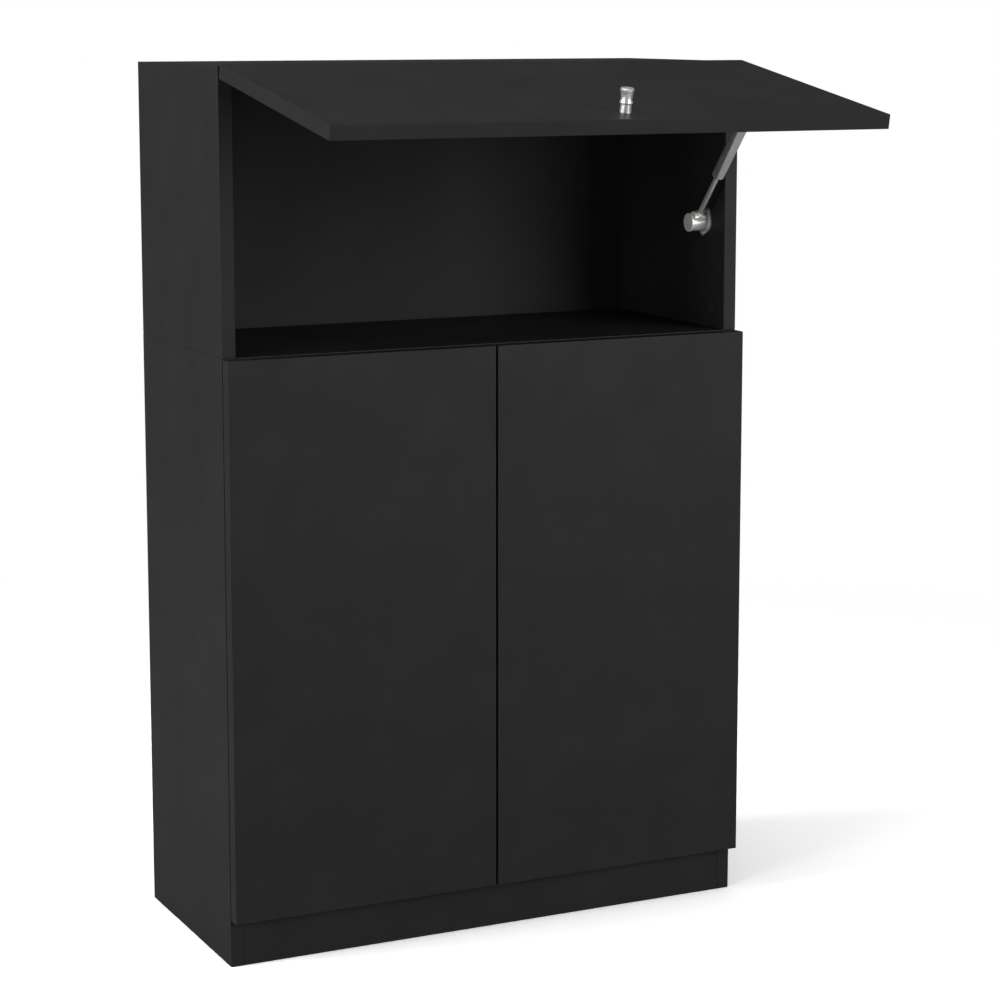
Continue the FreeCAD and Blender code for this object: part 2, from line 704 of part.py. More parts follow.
# Pilot holes for the plates' screws in the sides and in the top board.
PILOT = "{screw_radius} + {slack} / 2"
PILOT_DEPTH = "12"
for side, sign in (("left", -1), ("right", 1)):
    into = "-X" if sign < 0 else "+X"
    face = "%d * ({width} / 2 - {panel})" % sign
    for level in door_levels.values():
        for z in (-PLATE_SCREW, PLATE_SCREW):
            round_bar(BODIES["lower_%s_side" % side], "Subtractive",
                      (face, "{front} + {plate_setback}", number(level + z)), into, PILOT,
                      PILOT_DEPTH)
    for x in (-PLATE_SCREW, PLATE_SCREW):
        round_bar(BODIES["upper_top_panel"], "Subtractive",
                  (number(sign * flap_hinge_x + x), "{front} + {plate_setback}",
                   "{height} - {panel}"), "+Z", PILOT, PILOT_DEPTH)


# ---------------------------------------------------------------- doors and flap
CUP_PILOT_DEPTH = "13.4"


def cup_bores(body, hinge_x, hinge_z, along_x):
    """The 35 mm bore and pilot holes of one cup, drilled from the inner face."""
    face = "{front} - {front_gap}"
    shift_x = along_x * D["cup_centre"]
    shift_z = 0 if along_x else -D["cup_centre"]
    centre_x = number(hinge_x + shift_x)
    centre_z = number(hinge_z + shift_z)
    round_bar(body, "Subtractive", (centre_x, face, centre_z), "-Y", "{cup_radius} + {slack} / 2",
              "{pivot_depth} + {cup_floor_drop} + {cup_floor} + {slack}")
    for side in (-CUP_SCREW, CUP_SCREW):
        x = hinge_x + shift_x + (0 if along_x else side)
        z = hinge_z + shift_z + (side if along_x else 0)
        round_bar(body, "Subtractive", (number(x), face, number(z)), "-Y", PILOT, CUP_PILOT_DEPTH)


LATCH_LEVEL = INTERIOR_HIGH - D["latch_size"] / 2
STRIKE_RADIUS = 7.5
STRIKE_SHEET = 1.0
STRIKE_PIN_RADIUS = 1.5
STRIKE_PIN_LENGTH = 8.0
STRIKE_PIN_CLEAR = 0.1
STRIKE_PIN_END_GAP = 0.2
for side, sign in (("left", -1), ("right", 1)):
    door = body_named(side + "_door")
    low_x = "-{width} / 2" if sign < 0 else "{split_gap} / 2"
    block(door, "Additive", (low_x, "{front} - {front_gap} - {door_panel}", "{door_bottom}"),
          ("{width} / 2 - {split_gap} / 2", "{door_panel}", "{door_top} - {door_bottom}"))
    for level in door_levels.values():
        cup_bores(door, sign * pivot_x, level, -sign)
    round_bar(door, "Subtractive",
              ("%d * {latch_offset}" % sign, "{front} - {front_gap}", number(LATCH_LEVEL)),
              "-Y", number(STRIKE_PIN_RADIUS + STRIKE_PIN_CLEAR),
              number(STRIKE_PIN_LENGTH + STRIKE_PIN_END_GAP))

flap = body_named("flap_panel")
block(flap, "Additive", ("-{width} / 2", "{front} - {front_gap} - {door_panel}", "{flap_bottom}"),
      ("{width}", "{door_panel}", "{height} - {flap_bottom}"))
for sign in (-1, 1):
    cup_bores(flap, sign * flap_hinge_x, pivot_z, 0)
KNOB_SCREW_RADIUS = 2.0
knob_z = "{flap_bottom} + {knob_edge}"
round_bar(flap, "Subtractive", ("{knob_offset}", "{front}", knob_z), "-Y",
          number(KNOB_SCREW_RADIUS) + " + {slack}", "{front_gap} + {door_panel} + 1")
BRACKET_Z = D["height"] - D["pivot_inset"] - D["bracket_along"]
STRUT_X = HALF - D["strut_offset"]
BRACKET_SCREWS = (-9.0, 9.0)
BRACKET_SCREW_X = STRUT_X - 6.0
for z in BRACKET_SCREWS:
    round_bar(flap, "Subtractive",
              (number(BRACKET_SCREW_X), "{front} - {front_gap}", number(BRACKET_Z + z)),
              "-Y", PILOT, PILOT_DEPTH)
flap.Placement = FLAP_OPEN

# ---------------------------------------------------------------- knob
# Turned knob: flared head, waist, ring and foot, on the flap's outer face.
knob = body_named("knob")
profile = knob.newObject("Sketcher::SketchObject", "knob_profile")
profile.AttachmentSupport = ([f for f in knob.Origin.OriginFeatures if f.Role == "XZ_Plane"][0],
                             [""])
profile.MapMode = "FlatFace"
tall = D["knob_height"]
# Radius and share of the height at each corner of the outline, from the foot to the top.
corners = [
    (D["knob_base_radius"], 0.0),
    (D["knob_base_radius"] - 0.3, 0.33),
    (D["knob_ring_radius"] - 0.3, 0.36),
    (D["knob_ring_radius"], 0.38),
    (D["knob_ring_radius"], 0.44),
    (D["knob_ring_radius"] - 0.3, 0.46),
    (D["knob_waist_radius"] + 0.1, 0.49),
    (D["knob_top_radius"], 0.90),
    (D["knob_top_radius"], 0.96),
    (D["knob_top_radius"] - 0.9, 1.0),
]
FLARE_START = 6
FLARE_MIDDLE = (D["knob_waist_radius"] + 0.15, 0.72)
outline = [Vector(radius, share * tall, 0) for radius, share in corners]
outline = [Vector(0, 0, 0)] + outline + [Vector(0, tall, 0)]
flare_middle = Vector(FLARE_MIDDLE[0], FLARE_MIDDLE[1] * tall, 0)
for i, start in enumerate(outline):
    end = outline[(i + 1) % len(outline)]
    if i == FLARE_START + 1:
        profile.addGeometry(Part.Arc(start, flare_middle, end))
    else:
        profile.addGeometry(Part.LineSegment(start, end))
turned = knob.newObject("PartDesign::Revolution", "knob_turned")
turned.Profile = profile
turned.ReferenceAxis = (profile, ["V_Axis"])
turned.Angle = 360
KNOB_SCREW_IN = 11.0
KNOB_SCREW_HEAD = 2.2
round_bar(knob, "Subtractive", ("0", "0", "0"), "+Z",
          number(KNOB_SCREW_RADIUS) + " + {running_gap}", number(KNOB_SCREW_IN + 1.0))
knob_seat = Placement(
    Vector(D["knob_offset"], FRONT - D["front_gap"] - D["door_panel"],
           D["flap_bottom"] + D["knob_edge"]), DIRECTIONS["-Y"])
knob.Placement = FLAP_OPEN.multiply(knob_seat)

screw_seat = Placement(
    Vector(D["knob_offset"], FRONT - D["front_gap"], D["flap_bottom"] + D["knob_edge"]),
    DIRECTIONS["+Y"])
KNOB_SCREW_LENGTH = D["door_panel"] + KNOB_SCREW_IN
machine_stem = cyl(KNOB_SCREW_RADIUS, KNOB_SCREW_LENGTH, (0, 0, -KNOB_SCREW_LENGTH), (0, 0, 1))
machine_head = cyl(2 * KNOB_SCREW_RADIUS, KNOB_SCREW_HEAD, (0, 0, 0), (0, 0, 1))
group("knob_screw", [placed(machine_stem.fuse(machine_head).removeSplitter(),
                            FLAP_OPEN.multiply(screw_seat))])

# ---------------------------------------------------------------- gas strut
HUB = Vector(STRUT_X, FRONT + D["hub_back"], D["height"] - D["hub_below_top"])
closed_eye = Vector(STRUT_X, FRONT - D["front_gap"] + D["bracket_tall"], BRACKET_Z)
open_eye = FLAP_OPEN.multVec(closed_eye)
reach_open = open_eye - HUB
reach_closed = closed_eye - HUB
STRUT_OPEN = reach_open.Length
STRUT_CLOSED = reach_closed.Length
STROKE = STRUT_OPEN - STRUT_CLOSED
lean_open = math.degrees(math.atan2(reach_open.z, reach_open.y)) - 90
lean_closed = math.degrees(math.atan2(reach_closed.z, reach_closed.y)) - 90
# Strut frame: local Z from the hub to the flap's eye, local X across the cabinet.
STRUT_SPOT = Placement(HUB, Rotation(Vector(1, 0, 0), lean_open))
WALL = D["strut_offset"] - D["panel"]
FLANGE = 2.5
FLANGE_RADIUS = D["hub_radius"] + 2.0
EAR = 15.4
EAR_RADIUS = 4.4
BASE_TILT = 24.0
CAP = 3.0
CAP_ROUND = 0.8
HUB_GAP = 0.3
# Fork of the hub: top of the cheeks, half width, half slot and the rounding of the corners.
CHEEK = 16.0
CHEEK_HALF = 6.5
CHEEK_ROUND = 3.0
SLOT = 2.75
EYE_RADIUS = 6.6
EYE_HALF = SLOT - 0.25
EYE_FLAT_HALF = 6.0
SOCKET_RADIUS = 7.0
RING_ROUND = 0.6
TUBE_ROUND = 1.6
ROD_TENON = 2.3
ROD_TENON_RADIUS = 2.35
TENON_GAP = 0.05
ROD_IN_TUBE = 16.0
TUBE_END_WALL = 5.0
CLOSED_GAP = 1.0
TUBE_LOW = D["collar_top"] + CLOSED_GAP + STROKE
TUBE_TOP = STRUT_OPEN - 13.0
PLUG = 7.0
PLUG_GAP = 0.1
HEAD = 4.0
TONGUE_HALF = (3.0, 6.0)
BOSS_RADIUS = 4.6
BOSS_END = D["tube_radius"] + 0.5
BRACKET_IN = BOSS_END + 0.3

# The wall plate is the outline drawn tight around its middle disc and its two screw ears.
base = body_named("strut_wall_base")
plate = base.newObject("Sketcher::SketchObject", "strut_wall_base_outline")
plate.AttachmentSupport = ([f for f in base.Origin.OriginFeatures if f.Role == "YZ_Plane"][0], [""])
plate.MapMode = "FlatFace"
plate.AttachmentOffset = Placement(Vector(0, 0, WALL - FLANGE), Rotation())
leave = math.acos((FLANGE_RADIUS - EAR_RADIUS) / EAR)
out_of = Vector(0, 0, 1)
for sign in (-1, 1):
    # Tangent points on the disc and on the ear, then the straight side between them.
    for turn in (-1, 1):
        heading = math.pi / 2 * sign + turn * leave
        away = Vector(math.cos(heading), math.sin(heading), 0)
        ear = Vector(0, sign * EAR, 0)
        plate.addGeometry(Part.LineSegment(away * FLANGE_RADIUS, ear + away * EAR_RADIUS))
    circle = Part.Circle(Vector(0, sign * EAR, 0), out_of, EAR_RADIUS)
    middle = math.pi / 2 * sign
    plate.addGeometry(Part.ArcOfCircle(circle, middle - leave, middle + leave))
    circle = Part.Circle(Vector(), out_of, FLANGE_RADIUS)
    side_start = (0.0 if sign > 0 else math.pi) - (math.pi / 2 - leave)
    side_end = (0.0 if sign > 0 else math.pi) + (math.pi / 2 - leave)
    plate.addGeometry(Part.ArcOfCircle(circle, side_start, side_end))
plate_pad = base.newObject("PartDesign::Pad", "strut_wall_base_pad")
plate_pad.Profile = plate
plate_pad.Length = FLANGE
round_bar(base, "Additive", (number(WALL), "0", "0"), "-X", "{stud_radius}",
          "{hub_length} - " + number(CAP))
for sign in (-1, 1):
    round_bar(base, "Subtractive", (number(WALL + OVERSHOOT), "0", number(sign * EAR)), "-X",
              SCREW_HOLE, number(FLANGE + 2 * OVERSHOOT))
base_spot = Placement(HUB, Rotation(Vector(1, 0, 0), BASE_TILT))
base.Placement = base_spot
for sign in (-1, 1):
    where = base_spot.multVec(Vector(WALL, 0, sign * EAR))
    round_bar(BODIES["upper_right_side"], "Subtractive",
              (number(where.x), number(where.y), number(where.z)), "+X", PILOT, PILOT_DEPTH)

cap = body_named("strut_cap")
disc = round_bar(cap, "Additive", (number(WALL) + " - {hub_length}", "0", "0"), "+X",
                 "{cap_radius}", number(CAP))
rounded = round_edges(cap, disc, CAP_ROUND, lambda e: e.Curve.TypeId == "Part::GeomCircle"
                      and e.CenterOfMass.x < WALL - D["hub_length"] + CAP / 2)
cap.Tip = rounded
cap.Placement = Placement(HUB, Rotation())

hub = body_named("strut_hub")
hub_start = WALL - D["hub_length"] + CAP + D["slack"]
hub_end = WALL - FLANGE - HUB_GAP
round_bar(hub, "Additive", (number(hub_start), "0", "0"), "+X", "{hub_radius}",
          number(hub_end - hub_start))
cheek_end = -hub_start
block(hub, "Additive", (number(hub_start), number(-CHEEK_HALF), "0"),
      (number(2 * cheek_end), number(2 * CHEEK_HALF), number(CHEEK - CHEEK_ROUND)))
nose = block(hub, "Additive",
             (number(hub_start), number(-CHEEK_HALF), number(CHEEK - 2 * CHEEK_ROUND)),
             (number(2 * cheek_end), number(2 * CHEEK_HALF), number(2 * CHEEK_ROUND)))
rounded = round_edges(hub, nose, CHEEK_ROUND,
                      lambda e: along(e, 0) and abs(e.CenterOfMass.z - CHEEK) < 0.1)
hub.Tip = rounded
block(hub, "Subtractive", (number(-SLOT), number(-CHEEK_HALF - OVERSHOOT), "0"),
      (number(2 * SLOT), number(2 * CHEEK_HALF + 2 * OVERSHOOT), number(CHEEK + OVERSHOOT)))
round_bar(hub, "Subtractive", (number(-SLOT), "0", "0"), "+X", number(SOCKET_RADIUS),
          number(2 * SLOT))
round_bar(hub, "Subtractive", (number(hub_start - OVERSHOOT), "0", "0"), "+X",
          "{stud_radius} + {running_gap}", number(hub_end - hub_start + 2 * OVERSHOOT))
hub.Placement = STRUT_SPOT

rod_end = body_named("strut_rod_end")
EYE_TOP = CHEEK + D["slack"]
round_bar(rod_end, "Additive", (number(-EYE_HALF), "0", "0"), "+X", number(EYE_RADIUS),
          number(2 * EYE_HALF))
block(rod_end, "Additive", (number(-EYE_HALF), number(-EYE_FLAT_HALF), "0"),
      (number(2 * EYE_HALF), number(2 * EYE_FLAT_HALF), number(EYE_TOP)))
ring = round_bar(rod_end, "Additive", ("0", "0", number(EYE_TOP)), "+Z",
                 "{rod_radius} + 2", "{collar_top} - " + number(EYE_TOP))
rounded = round_edges(rod_end, ring, RING_ROUND, lambda e: e.Curve.TypeId == "Part::GeomCircle"
                      and abs(e.CenterOfMass.z - D["collar_top"]) < 0.1)
rod_end.Tip = rounded
round_bar(rod_end, "Subtractive", (number(-EYE_HALF - OVERSHOOT), "0", "0"), "+X",
          "{stud_radius} + {running_gap}", number(2 * EYE_HALF + 2 * OVERSHOOT))
round_bar(rod_end, "Subtractive", ("0", "0", "{collar_top} - " + number(ROD_TENON + 0.1)), "+Z",
          number(ROD_TENON_RADIUS + TENON_GAP), number(ROD_TENON + OVERSHOOT))
rod_end.Placement = STRUT_SPOT

rod = body_named("strut_rod")
round_bar(rod, "Additive", ("0", "0", "{collar_top}"), "+Z", "{rod_radius}",
          number(TUBE_LOW + ROD_IN_TUBE) + " - {collar_top}")
round_bar(rod, "Additive", ("0", "0", "{collar_top} - " + number(ROD_TENON)), "+Z",
          number(ROD_TENON_RADIUS), number(ROD_TENON + OVERSHOOT))
rod.Placement = STRUT_SPOT

tube = body_named("strut_tube")
barrel = round_bar(tube, "Additive", ("0", "0", number(TUBE_LOW)), "+Z", "{tube_radius}",
                   number(TUBE_TOP - TUBE_LOW))
rounded = round_edges(tube, barrel, TUBE_ROUND, lambda e: e.Curve.TypeId == "Part::GeomCircle"
                      and abs(e.CenterOfMass.z - TUBE_LOW) < 0.1)
tube.Tip = rounded
round_bar(tube, "Subtractive", ("0", "0", number(TUBE_LOW + TUBE_END_WALL)), "+Z", "{tube_bore}",
          number(TUBE_TOP - TUBE_LOW))
round_bar(tube, "Subtractive", ("0", "0", number(TUBE_LOW - OVERSHOOT)), "+Z",
          "{rod_radius} + {running_gap}", number(TUBE_END_WALL + 2 * OVERSHOOT))
tube.Placement = STRUT_SPOT

tube_end = body_named("strut_tube_end")
tongue_x, tongue_y = TONGUE_HALF
round_bar(tube_end, "Additive", ("0", "0", number(TUBE_TOP - PLUG)), "+Z",
          "{tube_bore} - " + number(PLUG_GAP), number(PLUG))
round_bar(tube_end, "Additive", ("0", "0", number(TUBE_TOP)), "+Z", "{tube_radius}", number(HEAD))
tongue_low = TUBE_TOP + HEAD - OVERSHOOT
block(tube_end, "Additive", (number(-tongue_x), number(-tongue_y), number(tongue_low)),
      (number(2 * tongue_x), number(2 * tongue_y), number(STRUT_OPEN - tongue_low)))
round_bar(tube_end, "Additive", (number(-tongue_x), "0", number(STRUT_OPEN)), "+X",
          number(tongue_y), number(2 * tongue_x))
round_bar(tube_end, "Additive", (number(-tongue_x), "0", number(STRUT_OPEN)), "+X",
          number(BOSS_RADIUS), number(tongue_x + BOSS_END))
tube_end.Placement = STRUT_SPOT

BRACKET_SHEET = 2.0
UPRIGHT_SHEET = 3.0
FOOT_OUT = 14.0
FOOT_HALF = 15.0
EYE_PAD = 8.0
RIVET_RADIUS = 4.0
RIVET_HEAD = 1.4
bracket = body_named("strut_flap_bracket")
face_y = "{front} - {front_gap}"
upright_x = STRUT_X + BRACKET_IN
eye_y = "{front} - {front_gap} + {bracket_tall}"
block(bracket, "Additive", (number(STRUT_X - FOOT_OUT), face_y, number(BRACKET_Z - FOOT_HALF)),
      (number(BRACKET_IN + FOOT_OUT + UPRIGHT_SHEET), number(BRACKET_SHEET),
       number(2 * FOOT_HALF)))
block(bracket, "Additive", (number(upright_x), face_y, number(BRACKET_Z - EYE_PAD)),
      (number(UPRIGHT_SHEET), "{bracket_tall}", number(2 * EYE_PAD)))
round_bar(bracket, "Additive", (number(upright_x), eye_y, number(BRACKET_Z)), "+X",
          number(EYE_PAD), number(UPRIGHT_SHEET))
# The riveted end of the strut's pin stands out a little on the wall side.
round_bar(bracket, "Additive", (number(upright_x), eye_y, number(BRACKET_Z)), "+X",
          number(RIVET_RADIUS), number(UPRIGHT_SHEET + RIVET_HEAD))
for z in BRACKET_SCREWS:
    round_bar(bracket, "Subtractive",
              (number(BRACKET_SCREW_X), face_y + " - 1", number(BRACKET_Z + z)),
              "+Y", SCREW_HOLE, number(BRACKET_SHEET + 2 * OVERSHOOT))
bracket.Placement = FLAP_OPEN

# ---------------------------------------------------------------- push latches
LATCH_SETBACK = 3.0
LATCH_ROUND = 2.0
LATCH_EAR = (16.0, 18.0, 3.0)
LATCH_SCREW = 12.0
LATCH_SCREW_ROW = 33.0
LATCH_BORE = 49.0
PLUNGER_OUT = 1.2
PLUNGER_LENGTH = 32.0
PLUNGER_ROUND = 0.6
ear_half, ear_deep, ear_sheet = LATCH_EAR
for side, sign in (("left", -1), ("right", 1)):
    housing = body_named(side + "_latch_housing")
    middle_x = sign * D["latch_offset"]
    low = number(INTERIOR_HIGH) + " - {latch_size}"
    case = block(housing, "Additive",
                 (number(middle_x) + " - {latch_size} / 2", at_row(LATCH_SETBACK), low),
                 ("{latch_size}", "{latch_length}", "{latch_size}"))
    rounded = round_edges(housing, case, LATCH_ROUND,
                          lambda e: along(e, 1) and e.CenterOfMass.z < INTERIOR_HIGH - ear_sheet)
    housing.Tip = rounded
    block(housing, "Additive",
          (number(middle_x - ear_half), at_row(LATCH_SCREW_ROW - ear_deep / 2),
           number(INTERIOR_HIGH - ear_sheet)),
          (number(2 * ear_half), number(ear_deep), number(ear_sheet)))
    round_bar(housing, "Subtractive",
              (number(middle_x), at_row(LATCH_SETBACK - OVERSHOOT), number(LATCH_LEVEL)), "+Y",
              "{plunger_radius} + {running_gap}", number(LATCH_BORE + OVERSHOOT))
    for x in (-LATCH_SCREW, LATCH_SCREW):
        round_bar(housing, "Subtractive",
                  (number(middle_x + x), at_row(LATCH_SCREW_ROW),
                   number(INTERIOR_HIGH - ear_sheet - OVERSHOOT)), "+Z",
                  SCREW_HOLE, number(ear_sheet + 2 * OVERSHOOT))
        round_bar(BODIES["lower_top_panel"], "Subtractive",
                  (number(middle_x + x), at_row(LATCH_SCREW_ROW), number(INTERIOR_HIGH)), "+Z",
                  PILOT, PILOT_DEPTH)
    plunger = body_named(side + "_latch_plunger")
    stem = round_bar(plunger, "Additive",
                     (number(middle_x), at_row(-PLUNGER_OUT), number(LATCH_LEVEL)),
                     "+Y", "{plunger_radius}", number(PLUNGER_LENGTH))
    rounded = round_edges(plunger, stem, PLUNGER_ROUND,
                          lambda e: e.Curve.TypeId == "Part::GeomCircle"
                          and e.CenterOfMass.y < FRONT)
    plunger.Tip = rounded
    strike = body_named(side + "_strike_plate")
    strike_seat = (number(middle_x), "{front} - {front_gap}", number(LATCH_LEVEL))
    round_bar(strike, "Additive", strike_seat, "+Y", number(STRIKE_RADIUS), number(STRIKE_SHEET))
    round_bar(strike, "Additive", strike_seat, "-Y", number(STRIKE_PIN_RADIUS),
              number(STRIKE_PIN_LENGTH))

# ---------------------------------------------------------------- wood screws by body
cabinet_screws = [placed(wood_screw, spot.multiply(at))
                  for spot in hinge_spots.values() for at in plate_spots]
for sign in (-1, 1):
    seat = Placement(Vector(WALL - FLANGE, 0, sign * EAR), DIRECTIONS["-X"])
    cabinet_screws.append(placed(wood_screw, base_spot.multiply(seat)))
    for x in (-LATCH_SCREW, LATCH_SCREW):
        seat = Placement(Vector(sign * D["latch_offset"] + x, FRONT + LATCH_SCREW_ROW,
                                INTERIOR_HIGH - ear_sheet), DIRECTIONS["-Z"])
        cabinet_screws.append(placed(wood_screw, seat))
group("cabinet_wood_screws", cabinet_screws)
for side in ("left", "right"):
    group(side + "_door_wood_screws", [
        placed(wood_screw, hinge_spots["%s_door_%s" % (side, end)].multiply(at))
        for end in door_levels for at in cup_spots])
flap_screws = [placed(wood_screw, FLAP_OPEN.multiply(hinge_spots["flap_" + side].multiply(at)))
               for side in ("left", "right") for at in cup_spots]
for z in BRACKET_SCREWS:
    seat = Placement(Vector(BRACKET_SCREW_X, FRONT - D["front_gap"] + BRACKET_SHEET,
                            BRACKET_Z + z), DIRECTIONS["+Y"])
    flap_screws.append(placed(wood_screw, FLAP_OPEN.multiply(seat)))
group("flap_wood_screws", flap_screws)

# ---------------------------------------------------------------- checks and files
doc.recompute()
for item in doc.Objects:
    if "Invalid" in item.State or "Error" in item.State:
        raise RuntimeError("%s did not compute" % item.Name)
for node in NODES:
    if node.Shape.isNull() or not node.Shape.isValid() or not node.Shape.Solids:
        raise RuntimeError("%s has no valid shape" % node.Label)

os.makedirs("parts", exist_ok=True)
for node in NODES:
    node.Shape.exportStep("parts/%s.step" % node.Label)
print("front plane y %.3f, strut %.2f to %.2f, lean %.2f to %.2f"
      % (FRONT, STRUT_OPEN, STRUT_CLOSED, lean_open, lean_closed))
print("%d nodes" % len(NODES))
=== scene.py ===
"""Looks of the shoe cabinet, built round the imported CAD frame.

Metres, +Z up, +X to the right of somebody who faces the doors, -Y towards them.
Every CAD node stays where it is and gets its finish here. The screws, dowels and shelf
pins are drawn again in full detail, and small caps and screws that the CAD leaves out
are added as pieces that ride on the same bodies.
"""

import json
import math

import bmesh
import bpy
import numpy as np
from mathutils import Matrix, Vector


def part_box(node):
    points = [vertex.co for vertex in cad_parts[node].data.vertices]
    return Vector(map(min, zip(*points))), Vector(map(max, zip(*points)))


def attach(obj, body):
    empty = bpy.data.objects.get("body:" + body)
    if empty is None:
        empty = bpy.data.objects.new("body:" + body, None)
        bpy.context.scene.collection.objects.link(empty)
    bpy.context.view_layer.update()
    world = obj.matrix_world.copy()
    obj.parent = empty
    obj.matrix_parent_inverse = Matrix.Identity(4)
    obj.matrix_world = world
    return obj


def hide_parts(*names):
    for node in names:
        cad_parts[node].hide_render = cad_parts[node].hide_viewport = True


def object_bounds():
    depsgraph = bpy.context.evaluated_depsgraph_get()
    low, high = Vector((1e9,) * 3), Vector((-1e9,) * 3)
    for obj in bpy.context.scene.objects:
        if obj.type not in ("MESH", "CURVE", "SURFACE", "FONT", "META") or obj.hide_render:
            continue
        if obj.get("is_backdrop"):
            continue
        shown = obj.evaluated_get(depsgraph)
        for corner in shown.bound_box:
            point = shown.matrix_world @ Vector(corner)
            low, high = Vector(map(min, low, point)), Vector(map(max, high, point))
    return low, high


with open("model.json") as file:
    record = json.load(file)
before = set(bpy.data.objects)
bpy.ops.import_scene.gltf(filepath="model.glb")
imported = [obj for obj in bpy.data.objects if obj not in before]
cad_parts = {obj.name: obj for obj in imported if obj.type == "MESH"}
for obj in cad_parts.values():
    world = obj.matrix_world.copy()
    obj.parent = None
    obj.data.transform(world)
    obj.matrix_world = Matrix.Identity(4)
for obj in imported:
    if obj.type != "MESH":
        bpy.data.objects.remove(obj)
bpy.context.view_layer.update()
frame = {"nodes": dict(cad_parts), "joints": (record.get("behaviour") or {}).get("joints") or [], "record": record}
NODES = frame["nodes"]
SLOT_OF = {part["node"]: part["material_slot"] for part in frame["record"]["subparts"]}
MM = 0.001


# ---------------------------------------------------------------- material helpers
# Sockets of the Mix node when it mixes colours.
MIX_AMOUNT, MIX_FIRST, MIX_SECOND, MIX_RESULT = 0, 6, 7, 2
# Nearly all noise values lie between these two.
NOISE_LOW, NOISE_HIGH = 0.3, 0.7
# How far a rounded normal agrees with the flat one where an edge starts, and where it is full.
EDGE_STARTS, EDGE_FULL = 0.99, 0.80


def shader(name):
    """A new material with its tree and its Principled shader."""
    material = bpy.data.materials.new(name)
    material.use_nodes = True
    return material, material.node_tree, material.node_tree.nodes["Principled BSDF"]


def feed(tree, made, key, value):
    """Sets an input to a value, or links it to the socket that feeds it."""
    if isinstance(value, bpy.types.NodeSocket):
        tree.links.new(value, made.inputs[key])
    else:
        made.inputs[key].default_value = value


def node(tree, kind, inputs=None, **settings):
    """A shader node; an input is a value or the socket that feeds it."""
    made = tree.nodes.new("ShaderNode" + kind)
    for key, value in settings.items():
        setattr(made, key, value)
    for key, value in (inputs or {}).items():
        feed(tree, made, key, value)
    return made


def place_in(tree, stretch=(1, 1, 1)):
    """Coordinates fixed to the piece, in metres, stretched along its axes."""
    where = node(tree, "TexCoord").outputs["Object"]
    return node(tree, "Mapping", {"Vector": where, "Scale": stretch}).outputs["Vector"]


def noise(tree, where, scale, detail=2.0, rough=0.5):
    """Noise with a given number of waves in a metre of the coordinates."""
    return node(tree, "TexNoise", {
        "Vector": where, "Scale": scale, "Detail": detail, "Roughness": rough,
    }).outputs["Fac"]


def spread(tree, value, low, high):
    """A noise value mapped onto the range low to high."""
    return node(tree, "MapRange", {
        "Value": value, "From Min": NOISE_LOW, "From Max": NOISE_HIGH,
        "To Min": low, "To Max": high,
    }).outputs["Result"]


def ramp(tree, value, *stops):
    """A colour ramp with stops (position, colour)."""
    made = node(tree, "ValToRGB", {"Fac": value})
    points = made.color_ramp.elements
    while len(points) < len(stops):
        points.new(0.5)
    for point, (position, colour) in zip(points, stops):
        point.position = position
        point.color = (*colour, 1.0)
    return made.outputs["Color"]


def blend(tree, amount, first, second, how="MIX"):
    """Two colours mixed, or multiplied."""
    made = node(tree, "Mix", data_type="RGBA", blend_type=how)
    for key, value in ((MIX_AMOUNT, amount), (MIX_FIRST, first), (MIX_SECOND, second)):
        feed(tree, made, key, value)
    return made.outputs[MIX_RESULT]


def bump(tree, bsdf, height, strength, depth):
    """Relief of a given depth in metres."""
    relief = node(tree, "Bump", {"Height": height, "Strength": strength, "Distance": depth})
    tree.links.new(relief.outputs["Normal"], bsdf.inputs["Normal"])


def edge_mask(tree, radius):
    """1 on convex and concave edges, 0 on flats, from how a rounded normal turns."""
    rounded = node(tree, "Bevel", {"Radius": radius}, samples=4).outputs["Normal"]
    flat = node(tree, "NewGeometry").outputs["Normal"]
    agree = node(tree, "VectorMath", {0: rounded, 1: flat}, operation="DOT_PRODUCT")
    return node(tree, "MapRange", {
        "Value": agree.outputs["Value"], "From Min": EDGE_STARTS, "From Max": EDGE_FULL,
        "To Min": 0.0, "To Max": 1.0,
    }).outputs["Result"]


def grey(level, warm=0.0):
    """A near-neutral colour, a little warmer or cooler."""
    return (level * (1 + warm), level, level * (1 - warm))


# ---------------------------------------------------------------- materials
# Waves in a metre of each pattern, and the depth of its relief in metres.
BOARD_CLOUD, BOARD_PEARL, BOARD_WEAR, BOARD_SMEAR = 11.0, 1300.0, 40.0, 5.0
BOARD_DEPTH = 0.00006
BOARD_SPECULAR = 0.12
RUBBED_WIDTH = 1.2 * MM
RUBBED_LIGHTER = 2.6
METAL_SMUDGE = 60.0
METAL_DEPTH = 0.00002
PLASTIC_GRAIN, PLASTIC_CLOUD = 2600.0, 90.0
PLASTIC_DEPTH = 0.00005
PLASTIC_SPECULAR = 0.22
HARDBOARD_FIBRES, HARDBOARD_CLOUD = 420.0, 8.0
HARDBOARD_DEPTH = 0.00012
HARDBOARD_SPECULAR = 0.2
BEECH_GRAIN, BEECH_PORES = (40.0, 900.0, 900.0), (300.0, 3000.0, 3000.0)
BEECH_DARK, BEECH_LIGHT = (0.42, 0.26, 0.14), (0.62, 0.43, 0.26)
BEECH_DEPTH = 0.0001


